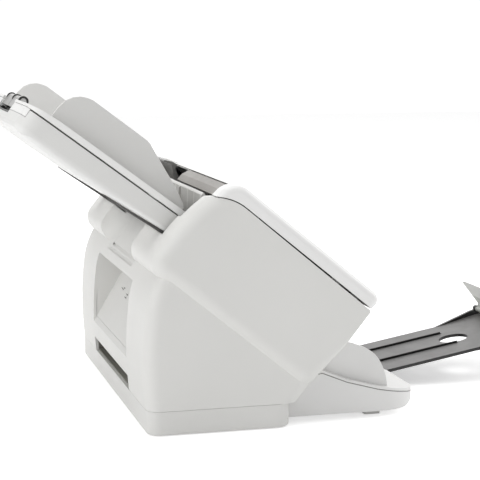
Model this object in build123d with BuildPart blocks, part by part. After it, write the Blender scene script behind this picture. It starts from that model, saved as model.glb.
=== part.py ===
# Desktop sheet-fed document scanner with a hinged cover, an input tray and a stacker
import os
from math import acos, atan2, cos, pi, radians, sin, sqrt, tan

from build123d import *

os.makedirs("parts", exist_ok=True)

# Placement of the machine on the desk, in millimetres and degrees
rear_y = 131.0              # foot line of the rear wall, behind the middle of the whole length
slant = 39.2                # slope of the tilted box, its cover and the paper path
tray_incline = 36.6
arm_rise = 10.2

# Walls and running clearances
wall = 2.5
cover_wall = 2.2
thin_wall = 2.0
seam = 0.8                  # seam between the cover and the tilted box
pan_seam = 0.2              # joint line between the base pan and the pedestal
running = 0.05              # radial clearance of a shaft in its hole
seat = 0.3                  # air between a moving piece and what carries it

# Base pan and feet
pedestal_width = 295.0
pan_rear = 2.4
pan_front = -105.4
pan_top = 18.3
pan_corner = 10.0
pan_edge = 2.5
foot_height = 0.5
foot_radius = 8.0
foot_thickness = 2.0
foot_pitch_x = 250.0
foot_pitch_y = 74.0
screw_pitch_x = 274.0
screw_pitch_y = 76.0
boss_radius = 4.5
boss_top = 34.0
screw_radius = 1.5
screw_head_radius = 3.0
screw_head_height = 2.4

# Pedestal, the upright lower block, as points (y, z) on its side view
wall_belly = (4.2, 56.0)
wall_shoulder = (1.9, 89.0)
wall_crease = (-7.2, 115.5)
pedestal_corner = 10.0

# Tilted box, as distances down the slope and heights square to it
body_width = 303.0
box_front = 74.4             # the pedestal is flush with it
box_rear = -81.0
box_rear_top = -75.9
box_bottom = 94.0
box_round = 13.0
box_edge = 12.0
box_front_round = 12.6
shoulder_level = 120.0
side_top = 171.0
side_top_front = 170.2
side_top_bend = -50.0
side_top_rear = 160.2
channel_width = 266.0       # between the side boxes, above the paper path
side_skin = 2.0
front_bar_depth = 11.0

# Paper path
path_level = 141.0
path_gap = 0.9
guide_thickness = 2.5
exit_low = 138.3
exit_high = 148.0
exit_width = 250.0

# Rear wall features
pocket_width = 150.0
pocket_top = 103.0
pocket_foot = 44.0
pocket_depth = 33.0
slot_width = 150.0
slot_height = 11.5
liner_depth = 30.0
scoop_floor = -65.0
scoop_flat = 90.0
scoop_width = 138.0

# Input tray, in its own frame along the incline
tray_foot_y = -34.3
tray_foot_z = 157.6
tray_width = 245.0
tray_length = 140.0
tray_lip_start = 116.0
tray_lip_drop = 2.6
tray_rim = 4.7
tray_skin = 2.5
tray_seam = 0.4
tray_corner = 16.0

# Paper guides, their racks and pinion
guide_half_gap = 108.8
guide_plate = 2.6
guide_travel = 82.0
rack_thickness = 3.0
rack_level = -4.9
pinion_u = 24.0
rack_back = 5.0

# Tray extension and its grip
extension_width = 172.0
extension_level = -5.0
extension_thickness = 5.0
extension_start = 45.0
grip_width = 80.0
hoop_pitch = 38.0
hoop_centre = (134.5, -0.9)
hoop_radius = 3.1

# Cover
cover_top = 182.9
cover_nose = 75.2
cover_rear = -72.0
cover_rear_low = 164.6
cover_edge = 5.5
cover_nose_round = 6.0
hinge_t = 68.3
hinge_n = 162.0
hinge_pin_radius = 2.0
lug_radius = 5.0
lug_width = 10.0
lug_place = 118.0
ear_width = 4.0
bar_from = -135.0
bar_to = -10.0
cavity_to = 95.0

# Upper unit carried by the cover
unit_width = 248.0
unit_front = 57.4
unit_shaft_radius = 2.5

# Rollers and shafts, along the path
pick_t = -50.0
feed_t = -20.0
exit_t = 50.0
drive_radius = 10.0
drive_rise = 0.3            # how far a drive roller stands above the lower guide
shaft_radius = 3.0
pinch_radius = 6.0
retard_radius = 9.0
roller_gap = 0.35
shaft_half = 133.5
roller_pitch = 54.0
roller_width = 16.0
pick_pitch = 30.0
pick_width = 20.0

# Side frames
frame_half = 129.5
frame_thickness = 1.5
bush_radius = 5.0

# Gear train on the right side
gear_module = 1.0
gear_width = 5.0
gear_place = 136.2
pressure = radians(20)
backlash = 0.24
shaft_teeth = 24
rear_idler_teeth = 20
front_idler_teeth = 46
motor_teeth = 14
pinion_teeth = 20
gear_hub = 4.5

# Scan heads and glass
head_width = 224.0
lower_head_from = 7.0
lower_head_to = 27.0
upper_head_from = 26.0
upper_head_to = 42.0
head_depth = 13.0
glass_thickness = 1.2

# Stacker, as points (y, z) on its side view
stacker_width = 270.0
stacker_seam = ((-133.0, 36.6), (-152.4, 28.6), (-176.8, 21.8), (-200.0, 17.2), (-214.8, 13.4))
stacker_low = 4.8
stacker_nose_y = -198.0     # where the bottom starts to curve up
stacker_corner = 35.0
stacker_lobe = 14.0
stacker_top_skin = 2.1
stacker_wall = 2.2
wing_place = 126.0
wing_thickness = 5.0
wing_outline = (
    (-154.3, 57.8), (-164.1, 54.7), (-175.2, 48.7), (-181.5, 40.7), (-185.3, 31.0), (-186.9, 20.2),
)
stacker_foot_y = -176.5
bracket_thickness = 1.2
stacker_foot_pitch = 230.0

# Output arm and stopper
arm_width = 90.0
arm_pivot_y = -200.0
arm_pivot_z = 10.5
arm_length = 148.5
arm_top = 0.4
arm_skin = 2.6
arm_flange = 4.2
arm_flare_start = arm_length - 47.5
arm_flare_width = 116.0
arm_hole_radius = 12.5
arm_hole_place = arm_length - 51.9
arm_groove_depth = 1.0
arm_groove_length = arm_length - 68.5
arm_groove_middle = arm_groove_length / 2 + 15
stopper_height = 18.8
stopper_top_width = 194.0
stopper_foot_width = 103.0
stopper_lean = 23.6
stopper_pivot_a = arm_length - 3.0
stopper_pivot_b = 5.0
stopper_ear_radius = 2.8
stopper_thickness = 2.4

# Control panel on the cover
button_radius = 5.0
button_travel = 1.0
button_proud = 0.6
panel_t = 42.0
panel_x = (112.0, 90.0, 62.0)
lamp_x = 76.0
lamp_radius = 1.5

# Directions along and square to the slope, the tray and the arm
slope_down = (0, -cos(radians(slant)), -sin(radians(slant)))
slope_up = (0, -sin(radians(slant)), cos(radians(slant)))
tray_along = (0, cos(radians(tray_incline)), sin(radians(tray_incline)))
tray_up = (0, -sin(radians(tray_incline)), cos(radians(tray_incline)))
arm_along = (0, -cos(radians(arm_rise)), sin(radians(arm_rise)))
arm_up = (0, sin(radians(arm_rise)), cos(radians(arm_rise)))


def on_slope(t, n):
    """Side view point (y, z) of a place t down the slope and n square to it."""
    return (t * slope_down[1] + n * slope_up[1], t * slope_down[2] + n * slope_up[2])


def slope_of(y, z):
    """The place (t, n) on the slope of a side view point."""
    return (y * slope_down[1] + z * slope_down[2], y * slope_up[1] + z * slope_up[2])


def level(z, y=0.0):
    """Flat plane at a height, seen from above."""
    return Plane(origin=(0, rear_y + y, z), x_dir=(1, 0, 0), z_dir=(0, 0, 1))


def side_view(x):
    """Upright plane across X, drawn as (y, z)."""
    return Plane(origin=(x, rear_y, 0), x_dir=(0, 1, 0), z_dir=(1, 0, 0))


def slope_view(x):
    """The same side view, drawn as (t, n) and facing the left side of the machine."""
    return Plane(origin=(x, rear_y, 0), x_dir=slope_down, z_dir=(-1, 0, 0))


def slope_deck(n, t=0.0):
    """Plane parallel to the paper path, drawn as (x, up the slope)."""
    y, z = on_slope(t, n)
    return Plane(origin=(0, rear_y + y, z), x_dir=(1, 0, 0), z_dir=slope_up)


def slope_wall(t):
    """Plane square to the paper path, drawn as (x, n), facing down the slope."""
    y, z = on_slope(t, 0)
    return Plane(origin=(0, rear_y + y, z), x_dir=(1, 0, 0), z_dir=slope_down)


def tray_view(x):
    """Side view of the tray, drawn as (u, v) along and square to its incline."""
    return Plane(origin=(x, rear_y + tray_foot_y, tray_foot_z), x_dir=tray_along, z_dir=(1, 0, 0))


def tray_deck(v, u=0.0):
    """Plane parallel to the tray, drawn as (x, u)."""
    y = tray_foot_y + u * tray_along[1] + v * tray_up[1]
    z = tray_foot_z + u * tray_along[2] + v * tray_up[2]
    return Plane(origin=(0, rear_y + y, z), x_dir=(1, 0, 0), z_dir=tray_up)


def arm_view(x):
    """Side view of the output arm, drawn as (a, b) from its pivot."""
    return Plane(origin=(x, rear_y + arm_pivot_y, arm_pivot_z), x_dir=arm_along, z_dir=(-1, 0, 0))


def arm_deck(b, a=0.0):
    """Plane parallel to the output arm, drawn as (x, back along the arm)."""
    y = arm_pivot_y + a * arm_along[1] + b * arm_up[1]
    z = arm_pivot_z + a * arm_along[2] + b * arm_up[2]
    return Plane(origin=(0, rear_y + y, z), x_dir=(1, 0, 0), z_dir=arm_up)


def involute(angle):
    return tan(angle) - angle


def gear_points(centre_place, teeth, phase):
    """Outline of a spur gear around a place, with one tooth at the given phase."""
    pitch = teeth * gear_module / 2
    base = pitch * cos(pressure)
    tip = pitch + 0.9 * gear_module
    root = pitch - 1.15 * gear_module
    half = pi / (2 * teeth) - backlash / (2 * pitch)
    start = max(base, root + 0.05)
    points = []
    for tooth in range(teeth):
        centre = phase + 2 * pi * tooth / teeth
        flank = []
        for step in range(4):
            reach = start + (tip - start) * step / 3
            flank.append((reach, half + involute(pressure) - involute(acos(min(1.0, base / reach)))))
        outline = [(root, -flank[0][1])]
        outline += [(reach, -angle) for reach, angle in flank]
        outline += [(reach, angle) for reach, angle in reversed(flank)]
        outline += [(root, flank[0][1])]
        for reach, angle in outline:
            along = centre_place[0] + reach * cos(centre + angle)
            across = centre_place[1] + reach * sin(centre + angle)
            points.append((along, across))
    return points


def mesh_phase(phase, teeth, other_teeth, direction):
    """Phase of the second gear so that it meshes with the first along a direction."""
    return direction + pi - (phase - direction) * teeth / other_teeth + pi / other_teeth


def front_at(inset, height):
    """How far forward the front plane stands at a height, a wall inside it where inset is given."""
    return -(box_front - inset + height * sin(radians(slant))) / cos(radians(slant))


def pedestal_outline(inset, foot):
    """Side view of the pedestal, drawn a wall inside its outer face where inset is given."""
    rear = (pan_rear - inset, foot)
    shoulder = (wall_shoulder[0] - inset, wall_shoulder[1])
    crease = (wall_crease[0] - inset, wall_crease[1])
    top_rear = on_slope(box_rear + 23, box_bottom + 6)
    top_front = on_slope(box_front - inset, box_bottom + box_front_round + 0.5)
    front_y = front_at(inset, foot)
    belly = ThreePointArc(rear, (wall_belly[0] - inset, wall_belly[1]), shoulder)
    TangentArc(shoulder, crease, tangent=belly % 1)
    Polyline(crease, top_rear, top_front, (front_y, foot), rear)


def upright_corners(block, half):
    """Edges of a block that stand at its rear and front corners."""
    return block.edges().filter_by(
        lambda edge: abs(abs(edge.center().X) - half) < 0.1
        and edge.length > 20
        and (
            abs(edge.center().Y - rear_y) < 8
            or abs((edge % 0.5).dot(Vector(*slope_up))) > 0.99
        )
    )


def corner_outline(side, radius, setback):
    """Section of a front corner of the box with a rounding, seen square to the slope."""
    half = body_width / 2
    front = setback - box_front
    inner_x = half - box_edge - 0.5
    inner_y = box_edge + 0.5 - box_front
    arc = radius * (1 - cos(radians(45)))
    Polyline(
        (side * half, front + radius),
        (side * half, inner_y),
        (side * inner_x, inner_y),
        (side * inner_x, front),
        (side * (half - radius), front),
    )
    ThreePointArc(
        (side * (half - radius), front), (side * (half - arc), front + arc), (side * half, front + radius)
    )


# Base pan: a shallow tray with four screw bosses and four pockets for the feet
pan_middle = (pan_rear + pan_front) / 2
pan_length = pan_rear - pan_front
with BuildPart() as base_pan:
    with BuildSketch(level(foot_height, pan_middle)):
        RectangleRounded(pedestal_width, pan_length, pan_corner)
    extrude(amount=pan_top - foot_height)
    fillet(base_pan.faces().sort_by(Axis.Z)[0].edges(), radius=pan_edge)
    with BuildSketch(level(foot_height + wall, pan_middle)):
        RectangleRounded(pedestal_width - 2 * wall, pan_length - 2 * wall, pan_corner - wall)
    extrude(amount=pan_top, mode=Mode.SUBTRACT)
    with BuildSketch(level(foot_height + wall, pan_middle)):
        with GridLocations(screw_pitch_x, screw_pitch_y, 2, 2):
            Circle(boss_radius)
    extrude(amount=pan_top - foot_height - wall)
    with BuildSketch(level(0, pan_middle)):
        with GridLocations(screw_pitch_x, screw_pitch_y, 2, 2):
            Circle(screw_radius + 0.2)
    extrude(amount=pan_top + 1, mode=Mode.SUBTRACT)
    with BuildSketch(level(0, pan_middle)):
        with GridLocations(screw_pitch_x, screw_pitch_y, 2, 2):
            Circle(screw_head_radius + 0.3)
    extrude(amount=foot_height + screw_head_height + 0.4, mode=Mode.SUBTRACT)
    with BuildSketch(level(0, pan_middle)):
        with GridLocations(foot_pitch_x, foot_pitch_y, 2, 2):
            Circle(foot_radius + running)
    extrude(amount=foot_thickness, mode=Mode.SUBTRACT)
base_pan.part.label = "base_pan"
export_step(base_pan.part, "parts/base_pan.step")

# Rubber feet in the pan's pockets, and the two pads under the front of the stacker
with BuildPart() as rubber_feet:
    with BuildSketch(level(0, pan_middle)):
        with GridLocations(foot_pitch_x, foot_pitch_y, 2, 2):
            Circle(foot_radius)
    extrude(amount=foot_thickness)
    with BuildSketch(level(0, stacker_foot_y)):
        with GridLocations(stacker_foot_pitch, 1, 2, 1):
            RectangleRounded(20, 13, 2)
    extrude(amount=6.0)
    fillet(rubber_feet.faces().group_by(Axis.Z)[0].edges(), radius=0.5)
rubber_feet.part.label = "rubber_feet"
export_step(rubber_feet.part, "parts/rubber_feet.step")

# Screws that pull the pan up against the pedestal
with BuildPart() as pan_screws:
    with BuildSketch(level(foot_height + 0.4, pan_middle)):
        with GridLocations(screw_pitch_x, screw_pitch_y, 2, 2):
            Circle(screw_head_radius)
    extrude(amount=screw_head_height)
    with BuildSketch(level(foot_height + 0.4, pan_middle)):
        with GridLocations(screw_pitch_x, screw_pitch_y, 2, 2):
            Circle(screw_radius)
    extrude(amount=boss_top - foot_height - 4)
    with BuildSketch(level(foot_height + 0.4, pan_middle)):
        with GridLocations(screw_pitch_x, screw_pitch_y, 2, 2):
            Rectangle(3.6, 0.8)
            Rectangle(0.8, 3.6)
    extrude(amount=1.2, mode=Mode.SUBTRACT)
pan_screws.part.label = "pan_screws"
export_step(pan_screws.part, "parts/pan_screws.step")

# Pedestal block with its rounded corners
with BuildPart() as pedestal_block:
    with BuildSketch(side_view(0)):
        with BuildLine():
            pedestal_outline(0, pan_top + pan_seam)
        make_face()
    extrude(amount=pedestal_width / 2, both=True)
    fillet(upright_corners(pedestal_block, pedestal_width / 2), radius=pedestal_corner)

# Tilted box that overhangs the pedestal all round, with soft edges
with BuildPart() as tilted_box:
    with BuildSketch(slope_view(0)):
        with BuildLine():
            Polyline(
                (box_front, box_bottom + box_front_round),
                (box_front, side_top_front - 1),
                (box_front - 1, side_top_front),
                (side_top_bend, side_top),
            )
            TangentArc((side_top_bend, side_top), (box_rear_top, side_top_rear), tangent=(-1, 0))
            TangentArc((box_rear, shoulder_level), (box_rear_top, side_top_rear), tangent=(0, 1))
            Line((box_rear, shoulder_level), (box_rear, box_bottom + box_round))
            TangentArc(
                (box_rear, box_bottom + box_round), (box_rear + box_round, box_bottom), tangent=(0, -1)
            )
            Line((box_rear + box_round, box_bottom), (box_front - box_front_round, box_bottom))
            TangentArc(
                (box_front - box_front_round, box_bottom),
                (box_front, box_bottom + box_front_round),
                tangent=(1, 0),
            )
        make_face()
    extrude(amount=body_width / 2, both=True)
    soft_edges = tilted_box.edges().filter_by(
        lambda edge: abs(abs(edge.center().X) - body_width / 2) < 0.1
        and slope_of(edge.center().Y - rear_y, edge.center().Z)[1] < side_top_rear - 5
    )
    fillet(soft_edges, radius=box_edge)
    # Front corners that grow sharper toward the seam
    sharp_n = 142.0
    sharp = 1.0
    corner_sections = (
        (box_bottom + box_front_round, box_edge, 0), (sharp_n, sharp, 0), (side_top_front - 1, sharp, 0),
        (side_top_front, sharp, 1),
    )
    for side in (-1, 1):
        for n, radius, setback in corner_sections:
            with BuildSketch(slope_deck(n)):
                with BuildLine():
                    corner_outline(side, radius, setback)
                make_face()
        loft(ruled=True)

# Hollow inside the pedestal, rounded like its corners
with BuildPart() as pedestal_hollow:
    with BuildSketch(side_view(0)):
        with BuildLine():
            pedestal_outline(wall, pan_top - 1)
        make_face()
    extrude(amount=pedestal_width / 2 - wall, both=True)
    fillet(upright_corners(pedestal_hollow, pedestal_width / 2 - wall), radius=pedestal_corner - wall)

# Hollow inside the tilted box, rounded like the box itself
hollow_rear = -67.0
hollow_top = side_top - wall
with BuildPart() as box_hollow:
    with BuildSketch(slope_view(0)):
        with BuildLine():
            Line((box_front - wall, box_bottom + box_front_round), (box_front - wall, side_top_front - wall))
            Polyline(
                (box_front - wall, side_top_front - wall),
                (side_top_bend - 5, hollow_top),
                (hollow_rear, hollow_top - 6.5),
                (hollow_rear, box_bottom + wall),
                (box_front - box_front_round, box_bottom + wall),
            )
            TangentArc(
                (box_front - box_front_round, box_bottom + wall),
                (box_front - wall, box_bottom + box_front_round),
                tangent=(1, 0),
            )
        make_face()
    extrude(amount=body_width / 2 - wall, both=True)
    hollow_edges = box_hollow.edges().filter_by(
        lambda edge: abs(abs(edge.center().X) - body_width / 2 + wall) < 0.1
        and slope_of(edge.center().Y - rear_y, edge.center().Z)[1] < side_top_rear - 5
        and slope_of(edge.center().Y - rear_y, edge.center().Z)[0] > hollow_rear + 5
    )
    fillet(hollow_edges, radius=box_edge - wall)

# Places on the slope used by the housing
recess_floor = 120.4
recess_half = tray_width / 2 + 4
recess_wall = -70.0
skin_inner = channel_width / 2
skin_outer = skin_inner + side_skin
bar_rear = box_front - front_bar_depth
frame_outer = frame_half + frame_thickness
lug_gap = lug_width / 2 + 1
ear_middle = lug_gap + ear_width / 2
stud_t = -58.0
stud_n = 149.0
stud_radius = 2.0

with BuildPart() as main_housing:
    add(pedestal_block.part)
    add(tilted_box.part)
    # Inside of the pedestal and of the box
    add(pedestal_hollow.part, mode=Mode.SUBTRACT)
    add(box_hollow.part, mode=Mode.SUBTRACT)
    # Pockets behind the rear corners of the box
    for side in (-1, 1):
        with BuildSketch(slope_deck(109)):
            with Locations((side * 135.5, 71)):
                Rectangle(14, 10)
        extrude(amount=35, mode=Mode.SUBTRACT)
    # Ledge over the front edge of the pan
    with BuildSketch(side_view(0)):
        with BuildLine():
            Polyline(
                (pan_front + 2, pan_top + pan_seam),
                (pan_front + 2, pan_top + wall),
                (front_at(wall / 2, pan_top + wall), pan_top + wall),
                (front_at(wall / 2, pan_top + pan_seam), pan_top + pan_seam),
                (pan_front + 2, pan_top + pan_seam),
            )
        make_face()
    extrude(amount=pedestal_width / 2 - pedestal_corner, both=True)
    # Open paper channel between the side boxes
    with BuildSketch(slope_view(0)):
        with BuildLine():
            Polyline(
                (-95, exit_low), (-95, 190), (bar_rear, 190), (bar_rear, exit_low), (-95, exit_low)
            )
        make_face()
    extrude(amount=skin_inner, both=True, mode=Mode.SUBTRACT)
    # Inner skins of the side boxes
    for side in (-1, 1):
        with BuildSketch(slope_view(side * (skin_inner + side_skin / 2))):
            with BuildLine():
                Polyline(
                    (recess_wall, exit_low),
                    (recess_wall, 163.5),
                    (side_top_bend - 5, hollow_top + 1),
                    (box_front - 1.5, hollow_top + 0.5),
                    (box_front - 1.5, exit_low),
                    (recess_wall, exit_low),
                )
            make_face()
        extrude(amount=side_skin / 2, both=True)
    # Floor of the front bar
    with BuildSketch(slope_view(0)):
        with Locations(((bar_rear + box_front - 1) / 2, exit_high + wall / 2)):
            Rectangle(front_bar_depth - 1, wall)
    extrude(amount=skin_inner + 1, both=True)
    # Ears for the hinge pins
    for side in (-1, 1):
        for step in (-1, 1):
            with BuildSketch(slope_view(side * lug_place + step * ear_middle)):
                with Locations(((bar_rear + box_front - 1) / 2, (exit_high + hollow_top + 1) / 2)):
                    Rectangle(front_bar_depth - 1, hollow_top + 1 - exit_high)
            extrude(amount=ear_width / 2, both=True)
    with BuildSketch(slope_view(-skin_inner + 1)):
        with Locations((hinge_t, hinge_n)):
            Circle(hinge_pin_radius)
    extrude(amount=-2 * skin_inner + 2, mode=Mode.SUBTRACT)
    # Slots that the cover's lugs swing through
    for side in (-1, 1):
        with BuildSketch(slope_view(side * lug_place)):
            with BuildLine():
                Polyline(
                    (bar_rear - 1, hollow_top - 1),
                    (bar_rear - 1, 180),
                    (box_front + 5, 180),
                    (box_front + 5, hinge_n - 6),
                    (box_front - wall - 1, hinge_n - 6),
                    (box_front - wall - 1, hollow_top - 1),
                    (bar_rear - 1, hollow_top - 1),
                )
            make_face()
        extrude(amount=lug_gap, both=True, mode=Mode.SUBTRACT)
    # Exit slot in the front wall
    with BuildSketch(slope_wall(box_front - 5)):
        with Locations((0, (exit_low + exit_high) / 2)):
            Rectangle(exit_width, exit_high - exit_low)
    extrude(amount=10, mode=Mode.SUBTRACT)
    # Holes for the latch studs in the inner skins
    with BuildSketch(slope_view(-skin_outer - 1)):
        with Locations((stud_t, stud_n)):
            Circle(stud_radius)
    extrude(amount=-2 * skin_outer - 2, mode=Mode.SUBTRACT)
    # Recess for the foot of the tray
    with BuildSketch(slope_view(0)):
        with Locations(((recess_wall - 95) / 2, (recess_floor + 141) / 2)):
            Rectangle(recess_wall + 95, 141 - recess_floor)
    extrude(amount=recess_half, both=True, mode=Mode.SUBTRACT)
    # Slots for the tray's hooks
    for side in (-1, 1):
        with BuildSketch(slope_wall(hollow_rear + 1)):
            with Locations((side * 100, 128.0)):
                Rectangle(16.4, 3.6)
        extrude(amount=-12, mode=Mode.SUBTRACT)
    # Wall behind the scoop, then the scoop
    with BuildSketch(slope_view(0)):
        with Locations(((hollow_rear + scoop_floor + wall) / 2 - 0.5, (box_bottom + 1 + exit_low) / 2)):
            Rectangle(scoop_floor + wall - hollow_rear + 1, exit_low - box_bottom - 1)
    extrude(amount=scoop_width / 2 + 3, both=True)
    with BuildSketch(slope_deck(box_bottom - 6)):
        with BuildLine():
            Line((-scoop_flat / 2, -scoop_floor), (scoop_flat / 2, -scoop_floor))
            TangentArc((scoop_flat / 2, -scoop_floor), (scoop_width / 2, 84), tangent=(1, 0))
            Line((scoop_width / 2, 84), (scoop_width / 2, 100))
            Line((scoop_width / 2, 100), (-scoop_width / 2, 100))
            Line((-scoop_width / 2, 100), (-scoop_width / 2, 84))
            TangentArc((-scoop_flat / 2, -scoop_floor), (-scoop_width / 2, 84), tangent=(-1, 0))
        make_face()
    extrude(amount=exit_low - box_bottom + 10, mode=Mode.SUBTRACT)
    # Sill that closes the shell between the scoop and the pedestal's rear wall
    with BuildSketch(side_view(0)):
        with BuildLine():
            Polyline((-12.0, 115.2), (-5.8, 110.6), (-7.0, 109.6), (-10.2, 112.7), (-12.6, 114.2), (-12.0, 115.2))
        make_face()
    extrude(amount=scoop_width / 2 + 3, both=True)
    # Walls of the rear pocket, then the pocket
    slant_run = pocket_depth + 2
    slant_rise = pocket_top - pocket_foot
    with BuildSketch(side_view(0)):
        with BuildLine():
            Polyline(
                (1.6, pocket_foot - 1.5),
                (-pocket_depth - 0.2, pocket_top - 1.0),
                (-pocket_depth - 1.7, pocket_top + wall),
                (-4.6, pocket_top + wall),
                (0.6, wall_shoulder[1]),
                (1.6, pocket_foot - 1.5),
            )
        make_face()
    extrude(amount=pocket_width / 2 + wall, both=True)
    with BuildSketch(side_view(0)):
        with BuildLine():
            Polyline(
                (4 + slant_run / 5, pocket_foot - slant_rise / 5),
                (4 - slant_run, pocket_top),
                (4 + slant_run / 5, pocket_top),
                (4 + slant_run / 5, pocket_foot - slant_rise / 5),
            )
        make_face()
    extrude(amount=pocket_width / 2, both=True, mode=Mode.SUBTRACT)
    # Openings for the two sockets in the pocket's ceiling
    with BuildSketch(level(pocket_top - 1, -16)):
        with Locations((8, 0)):
            Rectangle(12, 11)
        with Locations((48, 0)):
            Rectangle(11, 11)
    extrude(amount=wall + 2, mode=Mode.SUBTRACT)
    # Low slot in the rear wall
    with BuildSketch(level(pan_top - 1, 0)):
        Rectangle(slot_width, 10)
    extrude(amount=slot_height + 1 + pan_seam, mode=Mode.SUBTRACT)
    # Posts for the main board
    with BuildSketch(level(pocket_top + wall - 0.5, -26.5)):
        with GridLocations(120, 13, 2, 2):
            Circle(2.2)
    extrude(amount=7.0)
    # Screw bosses with ribs to the side walls
    with BuildSketch(level(pan_top + pan_seam, pan_middle)):
        with GridLocations(screw_pitch_x, screw_pitch_y, 2, 2):
            Circle(boss_radius)
        with GridLocations(screw_pitch_x + 9, screw_pitch_y, 2, 2):
            Rectangle(11, 2)
    extrude(amount=boss_top - pan_top)
    with BuildSketch(level(pan_top, pan_middle)):
        with GridLocations(screw_pitch_x, screw_pitch_y, 2, 2):
            Circle(screw_radius)
    extrude(amount=boss_top - pan_top - 2, mode=Mode.SUBTRACT)
main_housing.part.label = "main_housing"
export_step(main_housing.part, "parts/main_housing.step")

# Dark liner inside the low rear slot
liner_foot = pan_top + pan_seam
with BuildPart() as rear_slot_liner:
    with BuildSketch(level(liner_foot, (0.4 - liner_depth) / 2)):
        Rectangle(slot_width, liner_depth + 0.4)
    extrude(amount=slot_height)
    with BuildSketch(level(liner_foot + 1.2, (0.4 - liner_depth) / 2 + 1.2)):
        Rectangle(slot_width - 2.4, liner_depth + 0.4)
    extrude(amount=slot_height - 2.4, mode=Mode.SUBTRACT)
rear_slot_liner.part.label = "rear_slot_liner"
export_step(rear_slot_liner.part, "parts/rear_slot_liner.step")

# Square data socket, opening downwards
board_level = 112.0
with BuildPart() as usb_socket:
    with BuildSketch(level(pocket_top, -16)):
        with Locations((8, 0)):
            Rectangle(12, 11)
    extrude(amount=board_level - pocket_top)
    with BuildSketch(level(pocket_top, -16)):
        with Locations((8, 0)):
            Rectangle(8.5, 7.8)
    extrude(amount=board_level - pocket_top - 1, mode=Mode.SUBTRACT)
    with BuildSketch(level(pocket_top + 1, -16)):
        with Locations((8, 0)):
            Rectangle(5.6, 3.0)
    extrude(amount=board_level - pocket_top - 1.5)
usb_socket.part.label = "usb_socket"
export_step(usb_socket.part, "parts/usb_socket.step")

# Round power socket with its centre pin
with BuildPart() as dc_socket:
    with BuildSketch(level(pocket_top, -16)):
        with Locations((48, 0)):
            Rectangle(11, 11)
    extrude(amount=board_level - pocket_top)
    with BuildSketch(level(pocket_top, -16)):
        with Locations((48, 0)):
            Circle(3.2)
    extrude(amount=board_level - pocket_top - 1, mode=Mode.SUBTRACT)
    with BuildSketch(level(pocket_top + 1, -16)):
        with Locations((48, 0)):
            Circle(1.0)
    extrude(amount=board_level - pocket_top - 1.5)
dc_socket.part.label = "dc_socket"
export_step(dc_socket.part, "parts/dc_socket.step")

# Main circuit board with its chips and connectors
with BuildPart() as main_board:
    with BuildSketch(level(board_level, -34.5)):
        Rectangle(132, 35)
    extrude(amount=1.6)
    with BuildSketch(level(board_level + 1.6, -34.5)):
        with Locations((-30, -3)):
            Rectangle(14, 14)
        with Locations((4, -4)):
            Rectangle(10, 12)
    extrude(amount=1.2)
    with BuildSketch(level(board_level + 1.6, -34.5)):
        with Locations((34, -12), (52, -12)):
            Rectangle(12, 4)
        with Locations((-56, 2)):
            Rectangle(5, 20)
    extrude(amount=4)
main_board.part.label = "main_board"
export_step(main_board.part, "parts/main_board.step")

# Drive train places on the slope
drive_n = path_level + drive_rise - drive_radius
gear_pitch = gear_module * shaft_teeth / 2
rear_idler_pitch = gear_module * rear_idler_teeth / 2
motor_pitch = gear_module * motor_teeth / 2
rear_idler_t = (pick_t + feed_t) / 2
rear_idler_n = drive_n - sqrt((gear_pitch + rear_idler_pitch) ** 2 - ((feed_t - pick_t) / 2) ** 2)
front_idler_t = (feed_t + exit_t) / 2
front_idler_n = drive_n
motor_lean = radians(15)
motor_t = feed_t + (gear_pitch + motor_pitch) * sin(motor_lean)
motor_n = drive_n - (gear_pitch + motor_pitch) * cos(motor_lean)
shaft_places = ((pick_t, drive_n), (feed_t, drive_n), (exit_t, drive_n))
idler_places = ((rear_idler_t, rear_idler_n), (front_idler_t, front_idler_n))
bar_places = ((30.0, 116.0), (-34.0, 103.0), (58.0, 108.0))
post_radius = 2.5
motor_radius = 12.5
motor_boss = 5.0


def side_frame_outline():
    """Outline of a side frame from the pan's floor up to the paper path."""
    lower_front = on_slope(60, 105)
    upper_front = on_slope(60, path_level - guide_thickness)
    upper_rear = on_slope(-60, path_level - guide_thickness)
    rear_bend = on_slope(-60, 110)
    floor = foot_height + wall
    Polyline(
        (-16, floor), (-92, floor), (-92, 24), lower_front, upper_front, upper_rear, rear_bend, (-16, 98),
        (-16, floor),
    )


def build_side_frame(side):
    """A steel side frame with holes for the bushes, the cross bars and, on the right, the gears."""
    with BuildPart() as frame:
        with BuildSketch(side_view(side * (frame_half + frame_thickness / 2))):
            with BuildLine():
                side_frame_outline()
            make_face()
        extrude(amount=frame_thickness / 2, both=True)
        with BuildSketch(slope_view(side * (frame_half + frame_thickness / 2))):
            with Locations(*shaft_places):
                Circle(bush_radius)
            with Locations(*bar_places):
                Circle(1.6)
            if side > 0:
                with Locations(*idler_places):
                    Circle(post_radius)
                with Locations((motor_t, motor_n)):
                    Circle(motor_boss)
        extrude(amount=frame_thickness, both=True, mode=Mode.SUBTRACT)
        with BuildSketch(side_view(side * (frame_half + frame_thickness / 2))):
            with Locations((-66, 46)):
                RectangleRounded(44, 40, 6)
            with Locations((-36, 40)):
                RectangleRounded(10, 46, 4)
        extrude(amount=frame_thickness, both=True, mode=Mode.SUBTRACT)
    return frame.part


left_side_frame = build_side_frame(-1)
left_side_frame.label = "left_side_frame"
export_step(left_side_frame, "parts/left_side_frame.step")
right_side_frame = build_side_frame(1)
right_side_frame.label = "right_side_frame"
export_step(right_side_frame, "parts/right_side_frame.step")

# Round cross bars with shouldered ends in the side frames
with BuildPart() as frame_bars:
    with BuildSketch(slope_view(0)):
        with Locations(*bar_places):
            Circle(3)
    extrude(amount=frame_half, both=True)
    with BuildSketch(slope_view(0)):
        with Locations(*bar_places):
            Circle(1.6)
    extrude(amount=frame_outer + 0.4, both=True)
frame_bars.part.label = "frame_bars"
export_step(frame_bars.part, "parts/frame_bars.step")

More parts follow.
